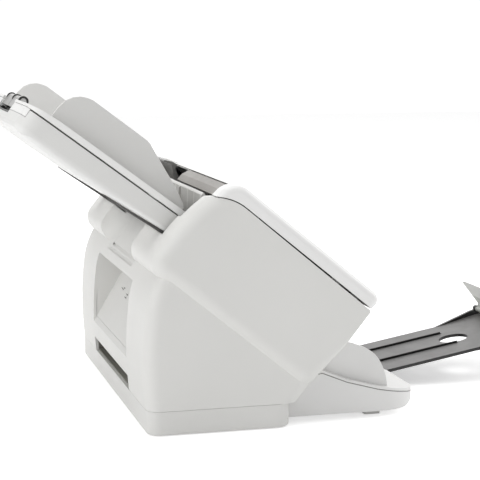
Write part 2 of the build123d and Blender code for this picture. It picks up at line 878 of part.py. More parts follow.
# Flanged bushes for the three driven shafts
with BuildPart() as shaft_bushes:
    for side in (-1, 1):
        with BuildSketch(slope_view(side * (frame_half + frame_thickness / 2 + 0.4))):
            with Locations(*shaft_places):
                Circle(bush_radius)
        extrude(amount=frame_thickness / 2 + 0.4, both=True)
        with BuildSketch(slope_view(side * (frame_half - 0.6))):
            with Locations(*shaft_places):
                Circle(bush_radius + 1)
        extrude(amount=0.6, both=True)
        with BuildSketch(slope_view(side * frame_half)):
            with Locations(*shaft_places):
                Circle(shaft_radius + running)
        extrude(amount=5, both=True, mode=Mode.SUBTRACT)
shaft_bushes.part.label = "shaft_bushes"
export_step(shaft_bushes.part, "parts/shaft_bushes.step")

# Posts riveted into the right frame for the two idler gears
gear_outer = gear_place + gear_width
bush_outer = frame_outer + 0.8
with BuildPart() as gear_posts:
    with BuildSketch(slope_view(frame_half)):
        with Locations(*idler_places):
            Circle(post_radius)
    extrude(amount=-(gear_outer + 1.6 - frame_half))
    with BuildSketch(slope_view(frame_outer)):
        with Locations(*idler_places):
            Circle(4)
    extrude(amount=-(gear_place - seat - frame_outer))
    with BuildSketch(slope_view(gear_outer + seat)):
        with Locations(*idler_places):
            Circle(3.6)
    extrude(amount=-1.4)
gear_posts.part.label = "gear_posts"
export_step(gear_posts.part, "parts/gear_posts.step")

# Lower paper guide with windows for the rollers and for the glass
roller_places = [((step - 1.5) * roller_pitch, 0) for step in range(4)]
pick_places = [(-pick_pitch / 2, 0), (pick_pitch / 2, 0)]
guide_low = path_level - guide_thickness
glass_low = path_level - glass_thickness
with BuildPart() as lower_guide:
    with BuildSketch(slope_view(0)):
        with BuildLine():
            Polyline(
                (-66, guide_low),
                (-66, path_level - 0.8),
                (-64.5, path_level),
                (70.7, path_level),
                (70.7, guide_low),
                (-66, guide_low),
            )
        make_face()
    extrude(amount=skin_inner - 0.5, both=True)
    for place, spots, width in ((pick_t, pick_places, pick_width), (feed_t, roller_places, roller_width)):
        with BuildSketch(slope_deck(guide_low - 1, place)):
            with Locations(*spots):
                Rectangle(width + 3, 16)
        extrude(amount=guide_thickness + 2, mode=Mode.SUBTRACT)
    with BuildSketch(slope_deck(guide_low - 1, exit_t)):
        with Locations(*roller_places):
            Rectangle(roller_width + 3, 16)
    extrude(amount=guide_thickness + 2, mode=Mode.SUBTRACT)
    lower_middle = (lower_head_from + lower_head_to) / 2
    with BuildSketch(slope_deck(guide_low - 1, lower_middle)):
        Rectangle(head_width - 8, 10)
    extrude(amount=guide_thickness + 2, mode=Mode.SUBTRACT)
    with BuildSketch(slope_deck(glass_low, lower_middle)):
        Rectangle(head_width - 4, 14)
    extrude(amount=glass_thickness + 1, mode=Mode.SUBTRACT)
    # Low ribs that lead the sheet
    with BuildSketch(slope_deck(guide_low, -41)):
        with Locations((-46, 0), (46, 0), (-100, 0), (100, 0)):
            Rectangle(1.2, 40)
    extrude(amount=guide_thickness + 0.15)
lower_guide.part.label = "lower_guide"
export_step(lower_guide.part, "parts/lower_guide.step")

# Lower scan head below its window
with BuildPart() as lower_head:
    with BuildSketch(slope_view(0)):
        with Locations((lower_middle, guide_low - head_depth / 2)):
            Rectangle(16, head_depth)
    extrude(amount=head_width / 2, both=True)
    with BuildSketch(slope_deck(guide_low, lower_middle)):
        Rectangle(head_width - 12, 8)
    extrude(amount=-3, mode=Mode.SUBTRACT)
    with BuildSketch(slope_view(0)):
        with Locations((lower_middle - 1.5, guide_low - 3.8)):
            Circle(1.6)
    extrude(amount=head_width / 2 - 8, both=True)
lower_head.part.label = "lower_head"
export_step(lower_head.part, "parts/lower_head.step")

# Lower glass strip in the rebate of the lower guide
with BuildPart() as lower_glass:
    with BuildSketch(slope_deck(glass_low, lower_middle)):
        Rectangle(head_width - 4, 14)
    extrude(amount=glass_thickness)
lower_glass.part.label = "lower_glass"
export_step(lower_glass.part, "parts/lower_glass.step")

# Drive motor on the inner face of the right frame
with BuildPart() as drive_motor:
    with BuildSketch(slope_view(frame_half)):
        with Locations((motor_t, motor_n)):
            Circle(motor_radius)
    extrude(amount=20)
    with BuildSketch(slope_view(frame_half)):
        with Locations((motor_t, motor_n)):
            Circle(motor_boss)
    extrude(amount=-frame_thickness)
    with BuildSketch(slope_view(frame_half + 6)):
        with Locations((motor_t, motor_n)):
            Circle(1.5 + running)
    extrude(amount=20, mode=Mode.SUBTRACT)
drive_motor.part.label = "drive_motor"
export_step(drive_motor.part, "parts/drive_motor.step")

# Fixed steel pins: two for the cover's hinge, two latch studs and one for the output arm
ear_reach = lug_gap + ear_width
with BuildPart() as pivot_pins:
    for side in (-1, 1):
        with BuildSketch(slope_view(side * lug_place)):
            with Locations((hinge_t, hinge_n)):
                Circle(hinge_pin_radius)
        extrude(amount=ear_reach, both=True)
        with BuildSketch(slope_view(side * (skin_outer + 125.2) / 2)):
            with Locations((stud_t, stud_n)):
                Circle(stud_radius)
        extrude(amount=(skin_outer - 125.2) / 2, both=True)
    with BuildSketch(arm_view(0)):
        Circle(2.0)
    extrude(amount=arm_width / 2 + 5, both=True)
pivot_pins.part.label = "pivot_pins"
export_step(pivot_pins.part, "parts/pivot_pins.step")


def build_shaft(place):
    """A steel shaft with an end collar outside the left frame."""
    with BuildPart() as shaft:
        with BuildSketch(slope_view(-shaft_half)):
            with Locations(place):
                Circle(shaft_radius)
        extrude(amount=-(shaft_half + gear_outer + 0.8))
        with BuildSketch(slope_view(-bush_outer - seat)):
            with Locations(place):
                Circle(gear_hub)
        extrude(amount=1.4)
    return shaft.part


def build_rollers(place, spots, width, radius, bore):
    """Separate roller tyres on one shaft, with softened rims."""
    with BuildPart() as rollers:
        for spot in spots:
            with BuildSketch(slope_view(spot[0])):
                with Locations(place):
                    Circle(radius)
            extrude(amount=width / 2, both=True)
        fillet(rollers.edges().filter_by(GeomType.CIRCLE), radius=0.5)
        for spot in spots:
            with BuildSketch(slope_view(spot[0])):
                with Locations(place):
                    Circle(bore)
            extrude(amount=width, both=True, mode=Mode.SUBTRACT)
    return rollers.part


def build_gear(place, teeth, phase, bore, hub):
    """A spur gear in the right side box, with a thin web and a hub."""
    pitch = gear_module * teeth / 2
    with BuildPart() as gear:
        with BuildSketch(slope_view(gear_place)):
            with BuildLine():
                Polyline(*gear_points(place, teeth, phase), close=True)
            make_face()
        extrude(amount=-gear_width)
        if pitch > 11:
            with BuildSketch(slope_view(gear_outer)):
                with Locations(place):
                    Circle(pitch - 3)
                    Circle(gear_hub + 1.5, mode=Mode.SUBTRACT)
            extrude(amount=gear_width * 0.5, mode=Mode.SUBTRACT)
        if hub > 0:
            with BuildSketch(slope_view(gear_place - hub)):
                with Locations(place):
                    Circle(gear_hub)
            extrude(amount=-hub)
        with BuildSketch(slope_view(gear_place - hub - 1)):
            with Locations(place):
                Circle(bore)
        extrude(amount=-(gear_width + hub + 2), mode=Mode.SUBTRACT)
    return gear.part


# Pick, feed and exit shafts
pick_shaft = build_shaft((pick_t, drive_n))
pick_shaft.label = "pick_shaft"
export_step(pick_shaft, "parts/pick_shaft.step")
feed_shaft = build_shaft((feed_t, drive_n))
feed_shaft.label = "feed_shaft"
export_step(feed_shaft, "parts/feed_shaft.step")
exit_shaft = build_shaft((exit_t, drive_n))
exit_shaft.label = "exit_shaft"
export_step(exit_shaft, "parts/exit_shaft.step")

# Rubber rollers pressed on the three shafts
pick_rollers = build_rollers((pick_t, drive_n), pick_places, pick_width, drive_radius, shaft_radius)
pick_rollers.label = "pick_rollers"
export_step(pick_rollers, "parts/pick_rollers.step")
feed_rollers = build_rollers((feed_t, drive_n), roller_places, roller_width, drive_radius, shaft_radius)
feed_rollers.label = "feed_rollers"
export_step(feed_rollers, "parts/feed_rollers.step")
exit_rollers = build_rollers((exit_t, drive_n), roller_places, roller_width, drive_radius, shaft_radius)
exit_rollers.label = "exit_rollers"
export_step(exit_rollers, "parts/exit_rollers.step")

# Gear train: every phase follows from the feed gear's
feed_phase = 0.0
rear_direction = atan2(rear_idler_n - drive_n, rear_idler_t - feed_t)
rear_phase = mesh_phase(feed_phase, shaft_teeth, rear_idler_teeth, rear_direction)
pick_direction = atan2(drive_n - rear_idler_n, pick_t - rear_idler_t)
pick_phase = mesh_phase(rear_phase, rear_idler_teeth, shaft_teeth, pick_direction)
front_phase = mesh_phase(feed_phase, shaft_teeth, front_idler_teeth, 0.0)
exit_phase = mesh_phase(front_phase, front_idler_teeth, shaft_teeth, 0.0)
motor_direction = atan2(motor_n - drive_n, motor_t - feed_t)
motor_phase = mesh_phase(feed_phase, shaft_teeth, motor_teeth, motor_direction)
hub_reach = gear_place - bush_outer - seat

pick_gear = build_gear((pick_t, drive_n), shaft_teeth, pick_phase, shaft_radius, hub_reach)
pick_gear.label = "pick_gear"
export_step(pick_gear, "parts/pick_gear.step")
feed_gear = build_gear((feed_t, drive_n), shaft_teeth, feed_phase, shaft_radius, hub_reach)
feed_gear.label = "feed_gear"
export_step(feed_gear, "parts/feed_gear.step")
exit_gear = build_gear((exit_t, drive_n), shaft_teeth, exit_phase, shaft_radius, hub_reach)
exit_gear.label = "exit_gear"
export_step(exit_gear, "parts/exit_gear.step")
idler_bore = post_radius + running
rear_idler_gear = build_gear(
    (rear_idler_t, rear_idler_n), rear_idler_teeth, rear_phase, idler_bore, 0
)
rear_idler_gear.label = "rear_idler_gear"
export_step(rear_idler_gear, "parts/rear_idler_gear.step")
front_idler_gear = build_gear(
    (front_idler_t, front_idler_n), front_idler_teeth, front_phase, idler_bore, 0
)
front_idler_gear.label = "front_idler_gear"
export_step(front_idler_gear, "parts/front_idler_gear.step")

# Motor pinion on its spindle
pinion_gear = build_gear((motor_t, motor_n), motor_teeth, motor_phase, 1.0, 0)
with BuildPart() as motor_pinion:
    add(pinion_gear)
    with BuildSketch(slope_view(frame_half - 12)):
        with Locations((motor_t, motor_n)):
            Circle(1.5)
    extrude(amount=-(gear_outer + 0.6 - frame_half + 12))
motor_pinion.part.label = "motor_pinion"
export_step(motor_pinion.part, "parts/motor_pinion.step")

# Tray: the sheet surface with its rim
tray_low = -tray_rim
tray_half = tray_width / 2
tray_foot_low = -18.9
tray_foot_wall = 2.6
grip_room = grip_width / 2 + 1
grip_notch = 130.6
foot_width = 7.4
slot_end = guide_half_gap + guide_plate + 0.6
slot_reach = guide_half_gap + guide_plate - guide_travel - foot_width - 0.5
left_foot_u = 10.2
right_foot_u = 32.2
foot_length = 5.6
with BuildPart() as tray_top:
    with BuildSketch(tray_view(0)):
        with BuildLine():
            Polyline(
                (1.6, tray_foot_low),
                (0, -15.2),
                (0, -1.5),
                (1.5, 0),
                (tray_lip_start, 0),
                (tray_length - 8, -1.2),
                (tray_length, -tray_lip_drop),
                (tray_length, tray_low),
                (tray_foot_wall, tray_low),
                (tray_foot_wall, tray_foot_low),
                (1.6, tray_foot_low),
            )
        make_face()
    extrude(amount=tray_half, both=True)
    lip_corners = tray_top.edges().filter_by(
        lambda edge: abs(abs(edge.center().X) - tray_half) < 0.1
        and (edge.center() - tray_deck(0, tray_length).origin).length < tray_half + 1
        and edge.length < 3
        and abs((edge % 0.5).dot(Vector(*tray_up))) > 0.95
        and edge.center().Z > 225
    )
    fillet(lip_corners, radius=tray_corner)
    with BuildSketch(tray_view(0)):
        with BuildLine():
            Polyline(
                (tray_foot_wall, tray_low - 2),
                (tray_foot_wall, -tray_skin),
                (tray_lip_start, -tray_skin),
                (tray_length - 12, tray_low + 0.8),
                (tray_length - 12, tray_low - 2),
                (tray_foot_wall, tray_low - 2),
            )
        make_face()
    extrude(amount=tray_half - 2.2, both=True, mode=Mode.SUBTRACT)
    # Slots for the feet of the two paper guides
    with BuildSketch(tray_deck(-tray_skin - 1)):
        for side, foot_u in ((-1, left_foot_u), (1, right_foot_u)):
            with Locations((side * (slot_end + slot_reach) / 2, foot_u + foot_length / 2)):
                Rectangle(slot_end - slot_reach, foot_length + 1.2)
    extrude(amount=tray_skin + 3, mode=Mode.SUBTRACT)
    # Stiffening rib under the sheet surface
    with BuildSketch(tray_deck(tray_low)):
        with Locations((0, 43)):
            Rectangle(tray_width - 8, 1.6)
    extrude(amount=tray_rim - tray_skin + 0.5)
    # Notch for the grip of the extension
    with BuildSketch(tray_deck(tray_low - 1)):
        with Locations((0, tray_length)):
            Rectangle(2 * grip_room, 2 * (tray_length - grip_notch))
    extrude(amount=10, mode=Mode.SUBTRACT)
tray_top.part.label = "tray_top"
export_step(tray_top.part, "parts/tray_top.step")

# Tray: the lower shell, deepest at its free end
shell_top = tray_low - tray_seam
shell_half = tray_half - 0.6
shell_end = tray_length - 0.6
shell_wall = 2.2
shell_keel = ((8.0, -20.4), (31.0, -21.8), (58.0, -23.6), (88.0, -24.3), (124.0, -23.7), (135.4, -22.9))
shell_outline = (
    (3.0, shell_top),
    (3.0, -19.7),
    *shell_keel,
    (138.0, -21.6),
    (shell_end, -18.6),
    (shell_end, shell_top),
    (3.0, shell_top),
)
with BuildPart() as tray_block:
    with BuildSketch(tray_view(0)):
        with BuildLine():
            Polyline(*shell_outline)
        make_face()
    extrude(amount=shell_half, both=True)
    keel_edges = tray_block.edges().filter_by(
        lambda edge: abs(abs(edge.center().X) - shell_half) < 0.1
        and edge.length > 4.5
        and (edge.center() - tray_deck(0).origin).dot(Vector(*tray_up)) < -19
    )
    fillet(keel_edges, radius=4.0)
    with BuildSketch(tray_deck(-30)):
        RectangleRounded(2 * shell_half, 2 * shell_end, tray_corner)
    extrude(amount=40, mode=Mode.INTERSECT)

# Hollow of the lower shell
with BuildPart() as tray_hollow:
    with BuildSketch(tray_view(0)):
        with BuildLine():
            Polyline(
                (5.4, shell_top + 1),
                (5.4, -17.6),
                *[(u, v + shell_wall + 0.3) for u, v in shell_keel],
                (shell_end - shell_wall, -18.2),
                (shell_end - shell_wall, shell_top + 1),
                (5.4, shell_top + 1),
            )
        make_face()
    extrude(amount=shell_half - shell_wall, both=True)
    with BuildSketch(tray_deck(-30)):
        RectangleRounded(
            2 * (shell_half - shell_wall), 2 * (shell_end - shell_wall), tray_corner - shell_wall
        )
    extrude(amount=40, mode=Mode.INTERSECT)

shell_floor = -22.5
cap_inner = 136.4           # inner face of the extension's end cap
cap_low = -11.4
grip_half = grip_width / 2
grip_back = 132.1
grip_low = -14.0
with BuildPart() as tray_shell:
    add(tray_block.part)
    add(tray_hollow.part, mode=Mode.SUBTRACT)
    # Bed for the racks, with the post of the pinion
    rack_low = rack_level - rack_thickness
    with BuildSketch(tray_deck(shell_floor)):
        with Locations((-50, 6.6), (-50, 41.4), (50, 6.6), (50, 41.4)):
            Rectangle(120, 1.6)
    extrude(amount=-shell_floor + rack_low + 1.5)
    with BuildSketch(tray_deck(shell_floor)):
        with GridLocations(100, 1, 2, 1):
            with Locations((0, 10.3), (0, 37.7)):
                Rectangle(6, 4)
    extrude(amount=-shell_floor + rack_low - seat)
    with BuildSketch(tray_deck(shell_floor)):
        with Locations((0, pinion_u)):
            Circle(6)
    extrude(amount=-shell_floor + rack_low - seat)
    with BuildSketch(tray_deck(shell_floor)):
        with Locations((0, pinion_u)):
            Circle(post_radius)
    extrude(amount=-shell_floor + rack_level - 0.2)
    # Rails under and beside the sliding extension, and its mouth across the end wall
    extension_low = extension_level - extension_thickness
    with BuildSketch(tray_deck(shell_floor)):
        with Locations((-60, 91), (60, 91)):
            Rectangle(4, 94)
    extrude(amount=-shell_floor + extension_low - seat)
    with BuildSketch(tray_deck(shell_floor)):
        with Locations((-extension_width / 2 - 1.5, 91), (extension_width / 2 + 1.5, 91)):
            Rectangle(2.0, 94)
    extrude(amount=-shell_floor + extension_low + 3)
    for half, low in ((tray_half + 1, cap_low - seat), (grip_room, grip_low - 0.4)):
        with BuildSketch(tray_deck(low)):
            with Locations((0, cap_inner - seat + 10)):
                Rectangle(2 * half, 20)
        extrude(amount=shell_top + 1 - low, mode=Mode.SUBTRACT)
    # Keep everything inside the outline of the shell
    add(tray_block.part, mode=Mode.INTERSECT)
tray_shell.part.label = "tray_shell"
export_step(tray_shell.part, "parts/tray_shell.step")

# Dark frame around the foot and the underside of the tray, with two hooks
mount_half = 119.0
mount_inner = 110.0
with BuildPart() as tray_mount:
    with BuildSketch(tray_view(0)):
        with BuildLine():
            Polyline(
                (-0.4, -7.0),
                (-0.4, -15.4),
                (1.4, -19.7),
                (2.8, -20.1),
                (8.0, -20.6),
                (31.0, -22.0),
                (58.4, -23.8),
                (58.4, -24.5),
                (31.0, -23.6),
                (7.0, -22.6),
                (1.6, -21.9),
                (-1.2, -15.0),
                (-2.2, -7.0),
                (-0.4, -7.0),
            )
        make_face()
    extrude(amount=mount_half, both=True)
    # Open middle between the two arms
    with BuildSketch(tray_deck(-30)):
        with Locations((0, 60)):
            Rectangle(2 * mount_inner, 100)
    extrude(amount=20, mode=Mode.SUBTRACT)
    for side in (-1, 1):
        with BuildSketch(slope_view(side * 100)):
            with BuildLine():
                Polyline(
                    (-71.7, 126.6), (-71.7, 129.4), (-64.0, 129.4), (-63.4, 127.4), (-64.0, 126.6),
                    (-71.7, 126.6),
                )
            make_face()
        extrude(amount=8, both=True)
tray_mount.part.label = "tray_mount"
export_step(tray_mount.part, "parts/tray_mount.step")


def rack_outline(teeth_from, teeth_to, pitch_line, back_line, toward):
    """Outline of a rack along X, its teeth pointing toward the pinion."""
    pitch_step = pi * gear_module
    half = pitch_step / 4 - backlash / 2
    rise = 0.9 * gear_module
    drop = 1.15 * gear_module
    points = [(teeth_from * pitch_step, back_line)]
    for tooth in range(teeth_from, teeth_to):
        middle = (tooth + 0.5) * pitch_step
        foot_half = half + drop * tan(pressure)
        tip_half = half - rise * tan(pressure)
        points.append((middle - foot_half, pitch_line - toward * drop))
        points.append((middle - tip_half, pitch_line + toward * rise))
        points.append((middle + tip_half, pitch_line + toward * rise))
        points.append((middle + foot_half, pitch_line - toward * drop))
    points.append((teeth_to * pitch_step, pitch_line - toward * drop))
    points.append((teeth_to * pitch_step, back_line))
    return points


guide_outline = (
    (3.4, seat), (121.1, seat), (120.8, 7.8), (119.3, 15.0), (116.1, 20.0), (112.0, 23.6), (107.4, 25.6),
    (103.3, 26.6), (54.9, 26.3), (51.0, 25.5), (39.4, 20.3), (18.9, 11.5), (5.7, 4.4), (3.3, 1.9),
)
guide_shift = 4.5           # how much farther up the tray the right guide stands


def build_paper_guide(side):
    """A side guide with its foot and rack, one solid that slides across the tray."""
    pinion_pitch = gear_module * pinion_teeth / 2
    foot_u = left_foot_u if side < 0 else right_foot_u
    pitch_line = pinion_u + side * pinion_pitch
    back_line = pitch_line + side * (1.15 + rack_back)
    teeth = int((guide_half_gap + guide_plate) / (pi * gear_module))
    first, last = (-teeth, 4) if side < 0 else (-4, teeth)
    shift = 0 if side < 0 else guide_shift
    with BuildPart() as guide:
        with BuildSketch(tray_view(side * (guide_half_gap + guide_plate / 2))):
            with BuildLine():
                Polyline(*[(u + shift, v) for u, v in guide_outline], close=True)
            make_face()
        extrude(amount=guide_plate / 2, both=True)
        fillet(guide.faces().filter_by(Axis.X).edges().filter_by(
            lambda edge: (edge.center() - tray_deck(0).origin).dot(Vector(*tray_up)) > 4
        ), radius=0.6)
        with BuildSketch(tray_deck(seat)):
            with Locations((side * (guide_half_gap - 3.0), foot_u + foot_length / 2)):
                Rectangle(8.0, 30.0 if side > 0 else 18.0)
        extrude(amount=1.2)
        with BuildSketch(tray_deck(rack_level - 0.1)):
            foot_x = side * (guide_half_gap + guide_plate - foot_width / 2)
            with Locations((foot_x, foot_u + foot_length / 2)):
                Rectangle(foot_width, foot_length)
        extrude(amount=seat + 0.3 - rack_level)
        with BuildSketch(tray_deck(rack_level - rack_thickness)):
            with BuildLine():
                Polyline(*rack_outline(first, last, pitch_line, back_line, -side), close=True)
            make_face()
        extrude(amount=rack_thickness)
    return guide.part


# Paper guides, left and right
paper_guide_left = build_paper_guide(-1)
paper_guide_left.label = "paper_guide_left"
export_step(paper_guide_left, "parts/paper_guide_left.step")
paper_guide_right = build_paper_guide(1)
paper_guide_right.label = "paper_guide_right"
export_step(paper_guide_right, "parts/paper_guide_right.step")

# Pinion between the two racks
with BuildPart() as guide_pinion:
    with BuildSketch(tray_deck(rack_level - rack_thickness, 0)):
        with BuildLine():
            Polyline(*gear_points((0, pinion_u), pinion_teeth, pi / 2), close=True)
        make_face()
    extrude(amount=rack_thickness)
    with BuildSketch(tray_deck(rack_level - rack_thickness - 1)):
        with Locations((0, pinion_u)):
            Circle(post_radius + running)
    extrude(amount=rack_thickness + 2, mode=Mode.SUBTRACT)
guide_pinion.part.label = "guide_pinion"
export_step(guide_pinion.part, "parts/guide_pinion.step")

# Tray extension: a shallow sliding plate
with BuildPart() as tray_extension:
    with BuildSketch(tray_deck(extension_low)):
        with Locations((0, (extension_start + shell_end) / 2)):
            Rectangle(extension_width, shell_end - extension_start)
    extrude(amount=extension_thickness)
    # End cap as wide as the tray, with its rounded corners
    with BuildSketch(tray_deck(cap_low)):
        RectangleRounded(2 * shell_half, 2 * shell_end, tray_corner)
        Rectangle(2 * tray_width, 2 * cap_inner, mode=Mode.SUBTRACT)
        with Locations((0, -tray_length)):
            Rectangle(2 * tray_width, 2 * tray_length, mode=Mode.SUBTRACT)
    extrude(amount=extension_level - cap_low)
    # Notch for the grip
    with BuildSketch(tray_deck(cap_low - 1)):
        with Locations((0, grip_back + 10)):
            Rectangle(2 * (grip_half + seat), 20)
    extrude(amount=10, mode=Mode.SUBTRACT)
    with BuildSketch(tray_deck(extension_low - 1)):
        with Locations((0, (extension_start + tray_length) / 2 - 6)):
            with GridLocations(55, 27, 3, 3):
                Rectangle(51, 23)
    extrude(amount=extension_thickness - 1.0, mode=Mode.SUBTRACT)
tray_extension.part.label = "tray_extension"
export_step(tray_extension.part, "parts/tray_extension.step")

# Grip on the end of the extension: a roll over a finger pocket, with three thin hoops
roll_u, roll_v = hoop_centre
with BuildPart() as extension_grip:
    with BuildSketch(tray_view(0)):
        with BuildLine():
            Polyline(
                (roll_u + hoop_radius, roll_v),
                (137.8, -9.2),
                (133.4, -9.2),
                (133.4, grip_low + 1.2),
                (138.8, grip_low + 1.2),
                (138.8, grip_low),
                (grip_back, grip_low),
                (grip_back, -4.4),
                (roll_u - hoop_radius, roll_v),
            )
            ThreePointArc(
                (roll_u - hoop_radius, roll_v), (roll_u, roll_v + hoop_radius), (roll_u + hoop_radius, roll_v)
            )
        make_face()
    extrude(amount=grip_half, both=True)
    for step in (-1, 0, 1):
        with BuildSketch(tray_view(step * hoop_pitch)):
            with Locations(hoop_centre):
                Circle(hoop_radius + 0.3)
        extrude(amount=0.8, both=True)
extension_grip.part.label = "extension_grip"
export_step(extension_grip.part, "parts/extension_grip.step")

# Stacker seen from above, with its rounded front and the slot of the arm
stacker_front = stacker_seam[-1][0]
stacker_rear_gap = 1.6      # behind the stacker stands the bracket
stacker_length = 200.0
slot_half = arm_width / 2 + 2
slot_rear = -190.0
with BuildSketch() as stacker_plan:
    RectangleRounded(stacker_width, stacker_length, stacker_corner)
    with Locations((0, -stacker_length / 2)):
        Rectangle(2 * slot_half, 2 * (slot_rear - stacker_front), mode=Mode.SUBTRACT)
    lobe_corners = stacker_plan.vertices().filter_by(
        lambda corner: abs(abs(corner.X) - slot_half) < 0.1 and corner.Y < 1 - stacker_length / 2
    )
    fillet(lobe_corners, radius=stacker_lobe)

# Hollow of the stacker, closed around the slot
stacker_tongue = pan_top - 0.2
hollow_floor = stacker_low + 2.4
hollow_front = stacker_nose_y
hollow_high = 50.0
inner_t = box_front + stacker_rear_gap + stacker_wall
with BuildPart() as stacker_hollow:
    with BuildSketch(side_view(0)):
        with BuildLine():
            Polyline(
                (pan_front - 3.2, hollow_floor),
                (pan_front - 3.2, stacker_tongue - stacker_wall),
                (front_at(box_front - inner_t, stacker_tongue - stacker_wall), stacker_tongue - stacker_wall),
                on_slope(inner_t, 108.0),
                (-134.0, hollow_high),
                (hollow_front, hollow_high),
                (hollow_front, hollow_floor + 1.6),
                (hollow_front + 6, hollow_floor),
                (pan_front - 3.2, hollow_floor),
            )
        make_face()
    extrude(amount=stacker_width / 2 - stacker_wall, both=True)
    with BuildSketch(level(0, stacker_front + stacker_length / 2)):
        RectangleRounded(
            stacker_width - 2 * stacker_wall, stacker_length - 2 * stacker_wall, stacker_corner - stacker_wall
        )
    extrude(amount=hollow_high, mode=Mode.INTERSECT)
    with BuildSketch(level(0, slot_rear)):
        Rectangle(2 * slot_half + 6, 8)
    extrude(amount=hollow_high, mode=Mode.SUBTRACT)
    with BuildSketch(level(0, hollow_front)):
        Rectangle(2 * slot_half + 6, 10)
    extrude(amount=hollow_high, mode=Mode.SUBTRACT)

# Stacker base under the output arm
seam_start = on_slope(box_front + 0.4, 112.0)
nose_low = (stacker_front - 1, stacker_seam[-1][1] - 1.2)
with BuildPart() as stacker_base:
    with BuildSketch(side_view(0)):
        with BuildLine():
            Polyline(
                (stacker_nose_y, stacker_low),
                (pan_front - 0.9, stacker_low),
                (pan_front - 0.9, stacker_tongue),
                (front_at(-stacker_rear_gap, stacker_tongue), stacker_tongue),
                on_slope(box_front + stacker_rear_gap, 110.0),
                on_slope(box_front + 0.4, 110.0),
                seam_start,
                *stacker_seam,
                (stacker_front - 1, stacker_seam[-1][1] - 0.3),
                nose_low,
            )
            TangentArc((stacker_nose_y, stacker_low), nose_low, tangent=(-1, 0))
        make_face()
    extrude(amount=stacker_width / 2, both=True)
    with BuildSketch(level(0, stacker_front + stacker_length / 2)):
        add(stacker_plan.sketch)
    extrude(amount=hollow_high, mode=Mode.INTERSECT)
    add(stacker_hollow.part, mode=Mode.SUBTRACT)
    with BuildSketch(arm_view(0)):
        Circle(2.0)
    extrude(amount=slot_half + 3, both=True, mode=Mode.SUBTRACT)
    # Pads that the arm rests on, hidden at both sides of the slot
    for side in (-1, 1):
        with BuildSketch(arm_view(side * (slot_half - 2.5))):
            with Locations((6.4, arm_top - arm_skin - seat - 0.9)):
                Rectangle(3.2, 1.8)
        extrude(amount=5.5, both=True)
    # Pockets for the two front feet
    with BuildSketch(level(0, stacker_foot_y)):
        with GridLocations(stacker_foot_pitch, 1, 2, 1):
            Rectangle(20.2, 13.2)
    extrude(amount=6.0, mode=Mode.SUBTRACT)
stacker_base.part.label = "stacker_base"
export_step(stacker_base.part, "parts/stacker_base.step")

# Stacker top: the sheet surface with its two wings
with BuildPart() as stacker_top:
    with BuildSketch(side_view(0)):
        with BuildLine():
            Polyline(
                *[(y, z + 0.05) for y, z in (seam_start, *stacker_seam)],
                (stacker_front, 15.7),
                (stacker_front + 0.8, 16.7),
                (-200.0, 19.6),
                *[(y, z + stacker_top_skin) for y, z in reversed(stacker_seam[:-2])],
                on_slope(box_front + 0.4, 114.2),
                (seam_start[0], seam_start[1] + 0.05),
            )
        make_face()
    extrude(amount=stacker_width / 2, both=True)
    with BuildSketch(level(0, stacker_front + stacker_length / 2)):
        add(stacker_plan.sketch)
    extrude(amount=80, mode=Mode.INTERSECT)
    wing_back = on_slope(box_front + 0.4, 137.0)
    wing_heel = on_slope(box_front + 0.4, 113.0)
    for side in (-1, 1):
        with BuildSketch(side_view(side * wing_place)):
            with BuildLine():
                Spline(wing_back, *wing_outline)
                Polyline(
                    wing_outline[-1],
                    *[(y, z + 0.9) for y, z in reversed(stacker_seam[:-2])],
                    wing_heel,
                    wing_back,
                )
            make_face()
        extrude(amount=wing_thickness / 2, both=True)
stacker_top.part.label = "stacker_top"
export_step(stacker_top.part, "parts/stacker_top.step")

# Light bracket between the stacker and the front of the pedestal
with BuildPart() as stacker_bracket:
    with BuildSketch(slope_view(0)):
        with Locations((box_front + seat + bracket_thickness / 2, 97.5)):
            Rectangle(bracket_thickness, 23)
    extrude(amount=stacker_width / 2 + 0.1 + bracket_thickness, both=True)
    for side in (-1, 1):
        with BuildSketch(slope_view(side * (stacker_width / 2 + 0.1 + bracket_thickness / 2))):
            with BuildLine():
                Line((box_front + seat, 86.0), (box_front + seat, 111.5))
                Line((box_front + seat, 111.5), (box_front + 3.8, 111.5))
                Line((box_front + 3.8, 111.5), (box_front + 3.8, 85.2))
                TangentArc((box_front + 3.8, 85.2), (box_front + seat, 86.0), tangent=(0, -1))
            make_face()
        extrude(amount=bracket_thickness / 2, both=True)
stacker_bracket.part.label = "stacker_bracket"
export_step(stacker_bracket.part, "parts/stacker_bracket.step")

